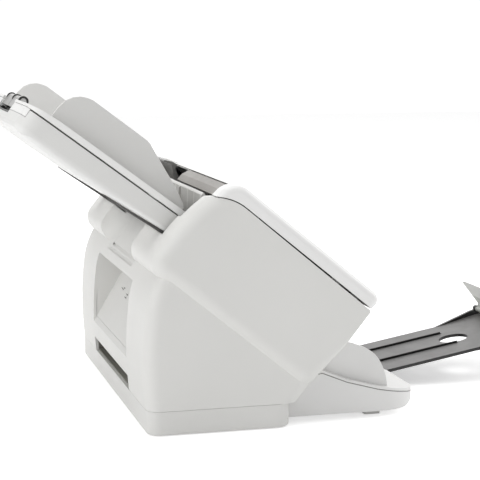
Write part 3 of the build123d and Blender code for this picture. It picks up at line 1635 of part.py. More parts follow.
# Output arm: a slim plate that folds up, with a flared head and a finger hole
arm_low = arm_top - arm_skin
head_half = arm_flare_width / 2
with BuildPart() as output_arm:
    with BuildSketch(arm_deck(arm_low)):
        with BuildLine():
            Polyline(
                (-arm_width / 2, 1),
                (arm_width / 2, 1),
                (arm_width / 2, -arm_flare_start),
                (head_half - 1.5, -arm_length + 4),
                (head_half - 1.5, -arm_length),
                (-head_half + 1.5, -arm_length),
                (-head_half + 1.5, -arm_length + 4),
                (-arm_width / 2, -arm_flare_start),
                (-arm_width / 2, 1),
            )
        make_face()
    extrude(amount=arm_skin)
    with BuildSketch(arm_view(0)):
        Circle(4.0)
    extrude(amount=arm_width / 2, both=True)
    # Raised rims along the flared head
    for side in (-1, 1):
        with BuildSketch(arm_deck(arm_low)):
            with BuildLine():
                Polyline(
                    (side * arm_width / 2, -arm_flare_start + 3),
                    (side * head_half, -arm_length + 4.5),
                    (side * head_half, -arm_length),
                    (side * (head_half - 3.4), -arm_length),
                    (side * (head_half - 3.4), -arm_length + 5.5),
                    (side * (arm_width / 2 - 2.4), -arm_flare_start + 3),
                    (side * arm_width / 2, -arm_flare_start + 3),
                )
            make_face()
        extrude(amount=arm_skin + arm_flange)
    with BuildSketch(arm_view(0)):
        with BuildLine():
            Polyline(
                (arm_flare_start - 8, arm_top),
                (arm_flare_start - 8, 30),
                (arm_length - 10, 30),
                (arm_length - 10, arm_top + arm_flange),
                (arm_flare_start - 2, arm_top),
                (arm_flare_start - 8, arm_top),
            )
        make_face()
    extrude(amount=head_half + 5, both=True, mode=Mode.SUBTRACT)
    # Ears that carry the stopper's hinge
    for side in (-1, 1):
        with BuildSketch(arm_view(side * (head_half - 1.7))):
            with Locations((stopper_pivot_a, stopper_pivot_b)):
                Circle(stopper_ear_radius)
            with Locations((stopper_pivot_a, (arm_top + stopper_pivot_b) / 2)):
                Rectangle(2 * stopper_ear_radius, stopper_pivot_b - arm_top)
        extrude(amount=1.7, both=True)
    # Finger hole, two long grooves and the bores for the arm's pin and the stopper
    with BuildSketch(arm_deck(arm_low - 1, arm_hole_place)):
        with Locations((-2, 0)):
            Circle(arm_hole_radius)
    extrude(amount=arm_skin + 2, mode=Mode.SUBTRACT)
    with BuildSketch(arm_deck(arm_top, 0)):
        with Locations((20.5, -arm_groove_middle), (-16.5, -arm_groove_middle)):
            Rectangle(2.4, arm_groove_length)
    extrude(amount=-arm_groove_depth, mode=Mode.SUBTRACT)
    with BuildSketch(arm_view(0)):
        Circle(2.0 + running)
    extrude(amount=arm_width, both=True, mode=Mode.SUBTRACT)
    with BuildSketch(arm_view(0)):
        with Locations((stopper_pivot_a, stopper_pivot_b)):
            Circle(1.2 + running)
    extrude(amount=head_half + 5, both=True, mode=Mode.SUBTRACT)
output_arm.part.label = "output_arm"
export_step(output_arm.part, "parts/output_arm.step")

# Paper stopper: a leaning trapezoid hinged on the end of the arm
stopper_dir = Vector(*arm_up).rotate(Axis.X, stopper_lean)
stopper_normal = Vector(*arm_along).rotate(Axis.X, stopper_lean)
stopper_y = arm_pivot_y + stopper_pivot_a * arm_along[1] + stopper_pivot_b * arm_up[1]
stopper_z = arm_pivot_z + stopper_pivot_a * arm_along[2] + stopper_pivot_b * arm_up[2]
stopper_plane = Plane(
    origin=Vector(0, rear_y + stopper_y, stopper_z), x_dir=(1, 0, 0), z_dir=stopper_normal
)
barrel_half = head_half - 3.4 - seat
with BuildPart() as paper_stopper:
    with BuildSketch(stopper_plane):
        with BuildLine():
            upward = 1 if stopper_plane.y_dir.dot(stopper_dir) > 0 else -1
            Polyline(
                (-stopper_foot_width / 2, 0),
                (-stopper_foot_width / 2 - 2, upward * 5.5),
                (-stopper_top_width / 2 + 1.5, upward * (stopper_height - 1)),
                (-stopper_top_width / 2 + 3.5, upward * stopper_height),
                (stopper_top_width / 2 - 3.5, upward * stopper_height),
                (stopper_top_width / 2 - 1.5, upward * (stopper_height - 1)),
                (stopper_foot_width / 2 + 2, upward * 5.5),
                (stopper_foot_width / 2, 0),
                (-stopper_foot_width / 2, 0),
            )
        make_face()
    extrude(amount=stopper_thickness / 2, both=True)
    with BuildSketch(arm_view(0)):
        with Locations((stopper_pivot_a, stopper_pivot_b)):
            Circle(2.2)
    extrude(amount=barrel_half, both=True)
    with BuildSketch(arm_view(0)):
        with Locations((stopper_pivot_a, stopper_pivot_b)):
            Circle(1.2)
    extrude(amount=head_half - 0.4, both=True)
paper_stopper.part.label = "paper_stopper"
export_step(paper_stopper.part, "parts/paper_stopper.step")

# Cover: a shell that closes the top of the box
cover_rear_top = -56.0
lip_under = 178.2
cover_low = side_top + seam
with BuildPart() as cover_shell:
    with BuildSketch(slope_view(0)):
        with BuildLine():
            Line((cover_rear_top, cover_top), (68.0, cover_top))
            TangentArc((68.0, cover_top), (cover_nose, cover_top - cover_nose_round), tangent=(1, 0))
            Polyline(
                (cover_nose, cover_top - cover_nose_round),
                (74.6, cover_low),
                (side_top_bend, cover_low),
            )
            TangentArc((side_top_bend, cover_low), (cover_rear, cover_rear_low), tangent=(-1, 0))
            Line((cover_rear, cover_rear_low), (cover_rear + 0.6, 170.0))
            TangentArc((cover_rear_top, cover_top), (cover_rear + 0.6, 170.0), tangent=(-1, 0))
        make_face()
    extrude(amount=body_width / 2, both=True)
    rim_edges = cover_shell.edges().filter_by(
        lambda edge: abs(abs(edge.center().X) - body_width / 2) < 0.1
        and (
            slope_of(edge.center().Y - rear_y, edge.center().Z)[1] > cover_low + 0.7
            or slope_of(edge.center().Y - rear_y, edge.center().Z)[0] < cover_rear + 1
        )
    )
    fillet(rim_edges, radius=cover_edge)
    with BuildSketch(slope_view(0)):
        with BuildLine():
            Polyline(
                (cover_rear + cover_wall, 150),
                (cover_rear + cover_wall + 0.3, 171.0),
                (-65.6, 176.9),
                (-59.3, cover_top - cover_wall),
                (68.0, cover_top - cover_wall),
                (72.6, 177.0),
                (72.0, 170.0),
                (72.0, 150),
                (cover_rear + cover_wall, 150),
            )
        make_face()
    extrude(amount=body_width / 2 - cover_wall, both=True, mode=Mode.SUBTRACT)
    # Rear opening for the dark bar and the finger cavity, under the rear lip
    with BuildSketch(slope_deck(155)):
        with Locations(((bar_from + cavity_to) / 2, 72)):
            Rectangle(cavity_to - bar_from, 16)
    extrude(amount=lip_under - 155, mode=Mode.SUBTRACT)
    # Notch in the lip for the release lever
    with BuildSketch(slope_deck(175)):
        with Locations((65.5, 73.5)):
            Rectangle(51, 19.4)
    extrude(amount=12, mode=Mode.SUBTRACT)
    # Narrow dark groove in the lip
    with BuildSketch(slope_deck(cover_top - 3.1)):
        with Locations((5, 72)):
            Rectangle(30, 12)
    extrude(amount=1.2, mode=Mode.SUBTRACT)
    # Hinge lugs
    for side in (-1, 1):
        with BuildSketch(slope_view(side * lug_place)):
            with Locations((hinge_t, hinge_n)):
                Circle(lug_radius)
            with Locations((hinge_t, (hinge_n + cover_top - 1) / 2)):
                Rectangle(2 * lug_radius, cover_top - 1 - hinge_n)
        extrude(amount=lug_width / 2, both=True)
        with BuildSketch(slope_view(side * lug_place)):
            with Locations((hinge_t, hinge_n)):
                Circle(hinge_pin_radius + running)
        extrude(amount=lug_width, both=True, mode=Mode.SUBTRACT)
    # Rests on the side boxes
    with BuildSketch(slope_deck(side_top + seat)):
        with Locations((-142, 40), (142, 40), (-142, -40), (142, -40)):
            Rectangle(5, 8)
    extrude(amount=cover_top - 1 - side_top)
    # Holes for the buttons and the lamp, and bosses for their board
    with BuildSketch(slope_deck(cover_top + 3, panel_t)):
        with Locations(*[(x, 0) for x in panel_x]):
            Circle(button_radius + 0.3)
        with Locations((lamp_x, 0)):
            Circle(lamp_radius)
    extrude(amount=-8, mode=Mode.SUBTRACT)
    board_top = 174.1
    with BuildSketch(slope_deck(board_top, panel_t)):
        with Locations((101, 0), (52, 0)):
            Circle(2)
    extrude(amount=cover_top - 1 - board_top)
cover_shell.part.label = "cover_shell"
export_step(cover_shell.part, "parts/cover_shell.step")

# Upper unit: the frame under the cover that carries the upper rollers and scan head
unit_low = path_level + path_gap
unit_half = unit_width / 2
cover_under = cover_top - cover_wall
pinch_n = path_level + drive_rise + roller_gap + pinch_radius
retard_n = path_level + drive_rise + roller_gap + retard_radius
upper_middle = (upper_head_from + upper_head_to) / 2
latch_t = -56.0
latch_n = 166.0
latch_radius = 2.5
with BuildPart() as cover_inner:
    with BuildSketch(slope_view(0)):
        with Locations(((-56 + unit_front) / 2, unit_low + thin_wall / 2)):
            Rectangle(unit_front + 56, thin_wall)
    extrude(amount=unit_half, both=True)
    for side in (-1, 1):
        with BuildSketch(slope_view(side * (unit_half - thin_wall / 2))):
            with BuildLine():
                Polyline(
                    (unit_front, unit_low),
                    (unit_front, 158.0),
                    (52.0, 172.0),
                    (52.0, cover_under),
                    (-52.0, cover_under),
                    (-61.6, 171.0),
                    (-61.6, 150.0),
                    (-56.0, unit_low),
                    (unit_front, unit_low),
                )
            make_face()
        extrude(amount=thin_wall / 2, both=True)
    # Windows for the upper rollers and for the glass
    with BuildSketch(slope_deck(unit_low - 1, pick_t)):
        Rectangle(52, 15)
    extrude(amount=thin_wall + 2, mode=Mode.SUBTRACT)
    for place in (feed_t, exit_t):
        with BuildSketch(slope_deck(unit_low - 1, place)):
            with Locations(*roller_places):
                Rectangle(roller_width + 2, 11.4)
        extrude(amount=thin_wall + 2, mode=Mode.SUBTRACT)
    with BuildSketch(slope_deck(unit_low - 1, upper_middle)):
        Rectangle(head_width - 8, 10)
    extrude(amount=thin_wall + 2, mode=Mode.SUBTRACT)
    with BuildSketch(slope_deck(unit_low - 1, upper_middle)):
        Rectangle(head_width - 4, 14)
    extrude(amount=glass_thickness + 1, mode=Mode.SUBTRACT)
    # Cross wall between the head and the feed rollers
    with BuildSketch(slope_view(0)):
        with Locations((0, (unit_low + 1 + cover_under) / 2)):
            Rectangle(thin_wall, cover_under - unit_low - 1)
    extrude(amount=unit_half - 1, both=True)
    # Holes for the fixed upper shafts and for the latch bar
    with BuildSketch(slope_view(0)):
        with Locations((pick_t, retard_n), (feed_t, pinch_n), (exit_t, pinch_n)):
            Circle(unit_shaft_radius)
        with Locations((latch_t, latch_n)):
            Circle(latch_radius + running)
    extrude(amount=unit_half + 1, both=True, mode=Mode.SUBTRACT)
cover_inner.part.label = "cover_inner"
export_step(cover_inner.part, "parts/cover_inner.step")

# Taupe bar along the rear edge of the cover, set back under the lip
with BuildPart() as rear_bar:
    with BuildSketch(slope_view((bar_from + bar_to) / 2)):
        with BuildLine():
            Polyline(
                (-69.6, 165.6),
                (-69.4, 171.2),
                (-66.8, 177.2),
                (-61.6, 177.2),
                (-58.8, 178.2),
                (-58.8, cover_under),
                (-56.4, cover_under),
                (-56.4, 175.4),
                (-65.6, 175.0),
                (-67.2, 171.0),
                (-67.4, 165.6),
                (-69.6, 165.6),
            )
        make_face()
    extrude(amount=(bar_to - bar_from) / 2 - 0.2, both=True)
    with BuildSketch(slope_deck(173.8, -60)):
        with Locations((-129.5, 0)):
            Rectangle(15.6, 9.6)
    extrude(amount=10, mode=Mode.SUBTRACT)
    with BuildSketch(slope_deck(160, -66)):
        with Locations((-136.6, 0)):
            Rectangle(8, 10)
    extrude(amount=8.2, mode=Mode.SUBTRACT)
rear_bar.part.label = "rear_bar"
export_step(rear_bar.part, "parts/rear_bar.step")

# Inlet funnel that leads the sheets in, with two ribs
with BuildPart() as inlet_guide:
    with BuildSketch(slope_view(0)):
        with BuildLine():
            Polyline(
                (-74.6, 160.8),
                (-74.6, 162.8),
                (-73.0, 162.8),
                (-71.8, 161.6),
                (-46.0, 161.6),
                (-46.0, 160.2),
                (-71.6, 160.2),
                (-60.0, 147.4),
                (-58.4, 144.6),
                (-60.2, 144.6),
                (-61.8, 146.8),
                (-74.6, 160.8),
            )
        make_face()
    extrude(amount=unit_half - thin_wall, both=True)
    for side in (-1, 1):
        with BuildSketch(slope_view(side * 51)):
            with BuildLine():
                Polyline(
                    (-74.6, 162.0), (-74.6, 158.4), (-62.4, 144.9), (-60.0, 144.9), (-60.4, 147.4),
                    (-73.4, 162.0), (-74.6, 162.0),
                )
            make_face()
        extrude(amount=1.2, both=True)
    with BuildSketch(slope_deck(143.5, pick_t)):
        Rectangle(52, 22)
    extrude(amount=5.5, mode=Mode.SUBTRACT)
inlet_guide.part.label = "inlet_guide"
export_step(inlet_guide.part, "parts/inlet_guide.step")

# Upper scan head above its window
unit_top = unit_low + thin_wall
with BuildPart() as upper_head:
    with BuildSketch(slope_view(0)):
        with Locations((upper_middle, unit_top + head_depth / 2)):
            Rectangle(16, head_depth)
    extrude(amount=head_width / 2, both=True)
    with BuildSketch(slope_deck(unit_top, upper_middle)):
        Rectangle(head_width - 12, 8)
    extrude(amount=3, mode=Mode.SUBTRACT)
    with BuildSketch(slope_view(0)):
        with Locations((upper_middle + 1.5, unit_top + 3.8)):
            Circle(1.6)
    extrude(amount=head_width / 2 - 8, both=True)
upper_head.part.label = "upper_head"
export_step(upper_head.part, "parts/upper_head.step")

# Upper glass strip
with BuildPart() as upper_glass:
    with BuildSketch(slope_deck(unit_low, upper_middle)):
        Rectangle(head_width - 4, 14)
    extrude(amount=glass_thickness)
upper_glass.part.label = "upper_glass"
export_step(upper_glass.part, "parts/upper_glass.step")

# Fixed shafts of the upper rollers
with BuildPart() as upper_shafts:
    with BuildSketch(slope_view(0)):
        with Locations((pick_t, retard_n), (feed_t, pinch_n), (exit_t, pinch_n)):
            Circle(unit_shaft_radius)
    extrude(amount=unit_half + 0.6, both=True)
upper_shafts.part.label = "upper_shafts"
export_step(upper_shafts.part, "parts/upper_shafts.step")

# Separation roller and the two rows of pinch rollers
upper_bore = unit_shaft_radius + running
separation_roller = build_rollers((pick_t, retard_n), [(0, 0)], 48, retard_radius, upper_bore)
separation_roller.label = "separation_roller"
export_step(separation_roller, "parts/separation_roller.step")
feed_pinch_rollers = build_rollers((feed_t, pinch_n), roller_places, 14, pinch_radius, upper_bore)
feed_pinch_rollers.label = "feed_pinch_rollers"
export_step(feed_pinch_rollers, "parts/feed_pinch_rollers.step")
exit_pinch_rollers = build_rollers((exit_t, pinch_n), roller_places, 14, pinch_radius, upper_bore)
exit_pinch_rollers.label = "exit_pinch_rollers"
export_step(exit_pinch_rollers, "parts/exit_pinch_rollers.step")

# Release lever, reached through the finger cavity
with BuildPart() as release_lever:
    with BuildSketch(slope_view(65.5)):
        with BuildLine():
            Polyline(
                (-75.8, 173.6),
                (-76.0, 174.8),
                (-69.8, 177.9),
                (-65.0, 178.4),
                (-64.2, 177.6),
                (-64.2, 175.0),
                (-54.4, 169.4),
                (-56.0, 166.0),
                (-59.4, 167.4),
                (-66.0, 173.0),
                (-69.2, 175.9),
                (-75.8, 173.6),
            )
        make_face()
    extrude(amount=23.5, both=True)
    with BuildSketch(slope_view(65.5)):
        with Locations((latch_t, latch_n)):
            Circle(latch_radius + 1.2)
    extrude(amount=23.5, both=True)
    with BuildSketch(slope_view(65.5)):
        with Locations((latch_t, latch_n)):
            Circle(latch_radius)
    extrude(amount=30, both=True, mode=Mode.SUBTRACT)
release_lever.part.label = "release_lever"
export_step(release_lever.part, "parts/release_lever.step")

# Latch bar with a hook at each end
with BuildPart() as latch_bar:
    with BuildSketch(slope_view(0)):
        with Locations((latch_t, latch_n)):
            Circle(latch_radius)
    extrude(amount=unit_half + 5, both=True)
    for side in (-1, 1):
        with BuildSketch(slope_view(side * (unit_half + 3))):
            with BuildLine():
                Polyline(
                    (-55.2, 147.0),
                    (-55.4, 151.5),
                    (-59.2, 163.5),
                    (-59.2, 168.0),
                    (-57.0, 169.6),
                    (-54.0, 169.2),
                    (-52.4, 166.5),
                    (-52.0, 150.0),
                    (-53.4, 147.0),
                    (-55.2, 147.0),
                )
            make_face()
        extrude(amount=1.8, both=True)
latch_bar.part.label = "latch_bar"
export_step(latch_bar.part, "parts/latch_bar.step")


def build_button(place):
    """A round button with its flange and stem."""
    with BuildPart() as button:
        with BuildSketch(slope_deck(cover_under - seat - 1.5, panel_t)):
            with Locations((place, 0)):
                Circle(button_radius + 1.2)
        extrude(amount=1.5)
        with BuildSketch(slope_deck(cover_under - seat - 1.5, panel_t)):
            with Locations((place, 0)):
                Circle(button_radius)
        extrude(amount=cover_wall + button_proud + seat + 1.5)
        fillet(button.edges().filter_by(GeomType.CIRCLE).sort_by(
            lambda edge: -slope_of(edge.center().Y - rear_y, edge.center().Z)[1]
        )[0], radius=0.5)
        with BuildSketch(slope_deck(board_top + button_travel + 0.2, panel_t)):
            with Locations((place, 0)):
                Circle(2.2)
        extrude(amount=cover_under - seat - 1 - board_top - button_travel)
    return button.part


# Control buttons: power, stop and scan
power_button = build_button(panel_x[0])
power_button.label = "power_button"
export_step(power_button, "parts/power_button.step")
stop_button = build_button(panel_x[1])
stop_button.label = "stop_button"
export_step(stop_button, "parts/stop_button.step")
scan_button = build_button(panel_x[2])
scan_button.label = "scan_button"
export_step(scan_button, "parts/scan_button.step")

# Small board under the buttons
with BuildPart() as cover_board:
    with BuildSketch(slope_deck(board_top, panel_t)):
        with Locations((83, 0)):
            Rectangle(72, 15)
    extrude(amount=-1.5)
    with BuildSketch(slope_deck(board_top - 1.5, panel_t)):
        with Locations((70, 0)):
            Rectangle(10, 4)
    extrude(amount=-3)
cover_board.part.label = "cover_board"
export_step(cover_board.part, "parts/cover_board.step")

# Lamp lens beside the buttons
with BuildPart() as lamp_lens:
    with BuildSketch(slope_deck(board_top + 0.2, panel_t)):
        with Locations((lamp_x, 0)):
            Circle(lamp_radius)
    extrude(amount=cover_top + 0.1 - board_top - 0.2)
    with BuildSketch(slope_deck(cover_under - 1.2, panel_t)):
        with Locations((lamp_x, 0)):
            Circle(lamp_radius + 1)
    extrude(amount=1.2)
lamp_lens.part.label = "lamp_lens"
export_step(lamp_lens.part, "parts/lamp_lens.step")
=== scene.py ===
# Studio view of a desktop document scanner: finishes, small trim, light and camera
import math

import bmesh
import bpy
from mathutils import Matrix, Vector


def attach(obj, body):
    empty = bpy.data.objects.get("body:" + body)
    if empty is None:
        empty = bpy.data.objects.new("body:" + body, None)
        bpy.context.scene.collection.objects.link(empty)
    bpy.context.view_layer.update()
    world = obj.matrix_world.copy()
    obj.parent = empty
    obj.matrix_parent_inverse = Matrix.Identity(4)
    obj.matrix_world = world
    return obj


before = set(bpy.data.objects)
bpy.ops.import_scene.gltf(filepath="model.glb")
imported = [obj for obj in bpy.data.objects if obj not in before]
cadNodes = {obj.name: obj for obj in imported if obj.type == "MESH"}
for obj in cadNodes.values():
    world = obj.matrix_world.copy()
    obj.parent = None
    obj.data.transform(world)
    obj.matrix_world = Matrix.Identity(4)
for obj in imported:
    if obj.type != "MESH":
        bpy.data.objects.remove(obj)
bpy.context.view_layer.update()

print("stage: frame loaded,", len(cadNodes), "nodes")


# Shared shader groups


def newGroup(name, inputs, outputs):
    tree = bpy.data.node_groups.new(name, "ShaderNodeTree")
    for label, kind, value in inputs:
        socket = tree.interface.new_socket(name=label, in_out="INPUT", socket_type=kind)
        socket.default_value = value
    for label, kind in outputs:
        tree.interface.new_socket(name=label, in_out="OUTPUT", socket_type=kind)
    return tree, tree.nodes.new("NodeGroupInput"), tree.nodes.new("NodeGroupOutput")


def addMath(tree, kind, first, second, clamp=False):
    node = tree.nodes.new("ShaderNodeMath")
    node.operation = kind
    node.use_clamp = clamp
    for slot, value in enumerate((first, second)):
        if isinstance(value, (int, float)):
            node.inputs[slot].default_value = value
        else:
            tree.links.new(value, node.inputs[slot])
    return node.outputs[0]


def addNoise(tree, vector, scale, detail=3.0, roughness=0.55):
    node = tree.nodes.new("ShaderNodeTexNoise")
    node.inputs["Detail"].default_value = detail
    node.inputs["Roughness"].default_value = roughness
    tree.links.new(vector, node.inputs["Vector"])
    if isinstance(scale, (int, float)):
        node.inputs["Scale"].default_value = scale
    else:
        tree.links.new(scale, node.inputs["Scale"])
    return node.outputs["Fac"]


def addMix(tree, factor, first, second, kind="MIX"):
    node = tree.nodes.new("ShaderNodeMix")
    node.data_type = "RGBA"
    node.blend_type = kind
    # on a colour mix, socket 0 is the factor and 6 and 7 are the two colours
    for index, value in ((0, factor), (6, first), (7, second)):
        if isinstance(value, (int, float, tuple)):
            node.inputs[index].default_value = value
        else:
            tree.links.new(value, node.inputs[index])
    return node.outputs[2]


def addRange(tree, value, low, high, toLow=0.0, toHigh=1.0):
    node = tree.nodes.new("ShaderNodeMapRange")
    node.inputs["From Min"].default_value = low
    node.inputs["From Max"].default_value = high
    node.inputs["To Min"].default_value = toLow
    node.inputs["To Max"].default_value = toHigh
    tree.links.new(value, node.inputs["Value"])
    return node.outputs[0]


skinOutputs = (
    ("Colour", "NodeSocketColor"),
    ("Roughness", "NodeSocketFloat"),
    ("Height", "NodeSocketFloat"),
)


def objectPoint(tree):
    return tree.nodes.new("ShaderNodeTexCoord").outputs["Object"]


def mouldTexture():
    # spark-eroded texture of a moulded plastic: fine bumps, a slow tint and a change of gloss
    tree, given, made = newGroup(
        "mould texture",
        (
            ("Light Colour", "NodeSocketColor", (0.8, 0.8, 0.8, 1)),
            ("Shade Colour", "NodeSocketColor", (0.75, 0.75, 0.75, 1)),
            ("Grain Scale", "NodeSocketFloat", 1600.0),
            ("Roughness", "NodeSocketFloat", 0.5),
            ("Gloss Change", "NodeSocketFloat", 0.08),
        ),
        skinOutputs,
    )
    where = objectPoint(tree)
    grain = addNoise(tree, where, given.outputs["Grain Scale"], 2.0)
    drift = addRange(tree, addNoise(tree, where, 9.0, 2.0), 0.35, 0.65)
    handling = addRange(tree, addNoise(tree, where, 42.0, 4.0, 0.65), 0.4, 0.7)
    speck = addRange(tree, grain, 0.3, 0.7, -0.12, 0.12)
    mixed = addMath(tree, "ADD", addMath(tree, "MULTIPLY", drift, 0.8), speck, True)
    colour = addMix(tree, mixed, given.outputs["Light Colour"], given.outputs["Shade Colour"])
    change = addMath(tree, "MULTIPLY", handling, given.outputs["Gloss Change"])
    rough = addMath(tree, "ADD", change, given.outputs["Roughness"])
    tree.links.new(colour, made.inputs["Colour"])
    tree.links.new(rough, made.inputs["Roughness"])
    tree.links.new(grain, made.inputs["Height"])
    return tree


def settledDust():
    # a mask of dust on faces that look up, patchy
    tree, given, made = newGroup(
        "settled dust",
        (("Amount", "NodeSocketFloat", 0.1), ("Patch Scale", "NodeSocketFloat", 60.0)),
        (("Mask", "NodeSocketFloat"),),
    )
    where = objectPoint(tree)
    split = tree.nodes.new("ShaderNodeSeparateXYZ")
    tree.links.new(tree.nodes.new("ShaderNodeNewGeometry").outputs["Normal"], split.inputs[0])
    up = addRange(tree, split.outputs["Z"], 0.4, 1.0)
    spots = addNoise(tree, where, given.outputs["Patch Scale"], 5.0, 0.7)
    patch = addRange(tree, spots, 0.42, 0.7)
    lying = addMath(tree, "MULTIPLY", up, patch)
    mask = addMath(tree, "MULTIPLY", lying, given.outputs["Amount"], True)
    tree.links.new(mask, made.inputs["Mask"])
    return tree


def drawnMetal():
    # fine lines along one axis, as on ground shafts and rolled sheet
    tree, given, made = newGroup(
        "drawn metal",
        (
            ("Stretch", "NodeSocketVector", (4.0, 900.0, 900.0)),
            ("Light Colour", "NodeSocketColor", (0.7, 0.7, 0.7, 1)),
            ("Shade Colour", "NodeSocketColor", (0.5, 0.5, 0.5, 1)),
            ("Roughness", "NodeSocketFloat", 0.25),
        ),
        skinOutputs,
    )
    where = objectPoint(tree)
    scaled = tree.nodes.new("ShaderNodeVectorMath")
    scaled.operation = "MULTIPLY"
    tree.links.new(where, scaled.inputs[0])
    tree.links.new(given.outputs["Stretch"], scaled.inputs[1])
    lines = addNoise(tree, scaled.outputs[0], 1.0, 3.0, 0.6)
    stain = addRange(tree, addNoise(tree, where, 70.0, 4.0), 0.35, 0.7)
    mixed = addMath(tree, "MULTIPLY", stain, lines)
    colour = addMix(tree, mixed, given.outputs["Light Colour"], given.outputs["Shade Colour"])
    change = addRange(tree, lines, 0.3, 0.7, -0.05, 0.1)
    rough = addMath(tree, "ADD", given.outputs["Roughness"], change)
    tree.links.new(colour, made.inputs["Colour"])
    tree.links.new(rough, made.inputs["Roughness"])
    tree.links.new(lines, made.inputs["Height"])
    return tree


mouldGroup = mouldTexture()
dustGroup = settledDust()
metalGroup = drawnMetal()


# Materials


def useGroup(tree, group, values):
    node = tree.nodes.new("ShaderNodeGroup")
    node.node_tree = group
    for label, value in values.items():
        node.inputs[label].default_value = value
    return node


def opaque(colour):
    return (colour[0], colour[1], colour[2], 1.0)


def bumpFrom(tree, height, strength, distance):
    bump = tree.nodes.new("ShaderNodeBump")
    bump.inputs["Strength"].default_value = strength
    bump.inputs["Distance"].default_value = distance
    tree.links.new(height, bump.inputs["Height"])
    return bump.outputs["Normal"]


def startMaterial(name):
    material = bpy.data.materials.new(name)
    material.use_nodes = True
    tree = material.node_tree
    shader = tree.nodes["Principled BSDF"]
    return material, tree, shader


dustColour = (0.62, 0.60, 0.56, 1)


def moulded(name, light, shade, roughness, grain=1500.0, depth=0.12, gloss=0.08, dust=0.0,
            specular=0.5, coat=0.0):
    material, tree, shader = startMaterial(name)
    skin = useGroup(tree, mouldGroup, {
        "Light Colour": opaque(light), "Shade Colour": opaque(shade), "Grain Scale": grain,
        "Roughness": roughness, "Gloss Change": gloss,
    })
    colour = skin.outputs["Colour"]
    if dust > 0:
        settled = useGroup(tree, dustGroup, {"Amount": dust})
        colour = addMix(tree, settled.outputs["Mask"], colour, dustColour)
    tree.links.new(colour, shader.inputs["Base Color"])
    tree.links.new(skin.outputs["Roughness"], shader.inputs["Roughness"])
    tree.links.new(bumpFrom(tree, skin.outputs["Height"], depth, 0.0001), shader.inputs["Normal"])
    shader.inputs["Specular IOR Level"].default_value = specular
    shader.inputs["Coat Weight"].default_value = coat
    return material


def metallic(name, light, shade, roughness, stretch=(4.0, 900.0, 900.0), depth=0.1):
    material, tree, shader = startMaterial(name)
    skin = useGroup(tree, metalGroup, {
        "Stretch": stretch, "Light Colour": opaque(light), "Shade Colour": opaque(shade),
        "Roughness": roughness,
    })
    tree.links.new(skin.outputs["Colour"], shader.inputs["Base Color"])
    tree.links.new(skin.outputs["Roughness"], shader.inputs["Roughness"])
    tree.links.new(bumpFrom(tree, skin.outputs["Height"], depth, 0.00005), shader.inputs["Normal"])
    shader.inputs["Metallic"].default_value = 1.0
    return material


def glassStrip(name, tint, roughness, weight):
    material, tree, shader = startMaterial(name)
    skin = useGroup(tree, mouldGroup, {
        "Light Colour": opaque(tint), "Shade Colour": opaque([c * 0.94 for c in tint]),
        "Grain Scale": 300.0, "Roughness": roughness, "Gloss Change": 0.03,
    })
    tree.links.new(skin.outputs["Colour"], shader.inputs["Base Color"])
    tree.links.new(skin.outputs["Roughness"], shader.inputs["Roughness"])
    shader.inputs["IOR"].default_value = 1.5
    shader.inputs["Transmission Weight"].default_value = weight
    return material


def circuitBoard(name):
    # green lacquer with paler tracks on a grid
    material, tree, shader = startMaterial(name)
    where = objectPoint(tree)
    brick = tree.nodes.new("ShaderNodeTexBrick")
    brick.inputs["Scale"].default_value = 260.0
    brick.inputs["Mortar Size"].default_value = 0.03
    brick.inputs["Color1"].default_value = (0.010, 0.10, 0.045, 1)
    brick.inputs["Color2"].default_value = (0.016, 0.14, 0.06, 1)
    brick.inputs["Mortar"].default_value = (0.05, 0.26, 0.12, 1)
    tree.links.new(where, brick.inputs["Vector"])
    tree.links.new(brick.outputs["Color"], shader.inputs["Base Color"])
    gloss = addRange(tree, addNoise(tree, where, 80.0), 0.3, 0.7, 0.25, 0.4)
    tree.links.new(gloss, shader.inputs["Roughness"])
    tree.links.new(bumpFrom(tree, brick.outputs["Fac"], 0.3, 0.0001), shader.inputs["Normal"])
    return material


def along(tree, direction):
    # how far a point of the part reaches along one direction
    dot = tree.nodes.new("ShaderNodeVectorMath")
    dot.operation = "DOT_PRODUCT"
    dot.inputs[1].default_value = direction
    tree.links.new(objectPoint(tree), dot.inputs[0])
    return dot.outputs["Value"]


def near(tree, value, middle, half):
    node = tree.nodes.new("ShaderNodeMath")
    node.operation = "COMPARE"
    tree.links.new(value, node.inputs[0])
    node.inputs[1].default_value = middle
    node.inputs[2].default_value = half
    return node.outputs[0]


def tinted(material, makeMask, tone):
    # a second tone over part of a moulded finish, where the mask is 1
    tree = material.node_tree
    shader = tree.nodes["Principled BSDF"]
    base = shader.inputs["Base Color"].links[0].from_socket
    tree.links.new(addMix(tree, makeMask(tree), base, opaque(tone)), shader.inputs["Base Color"])
    return material


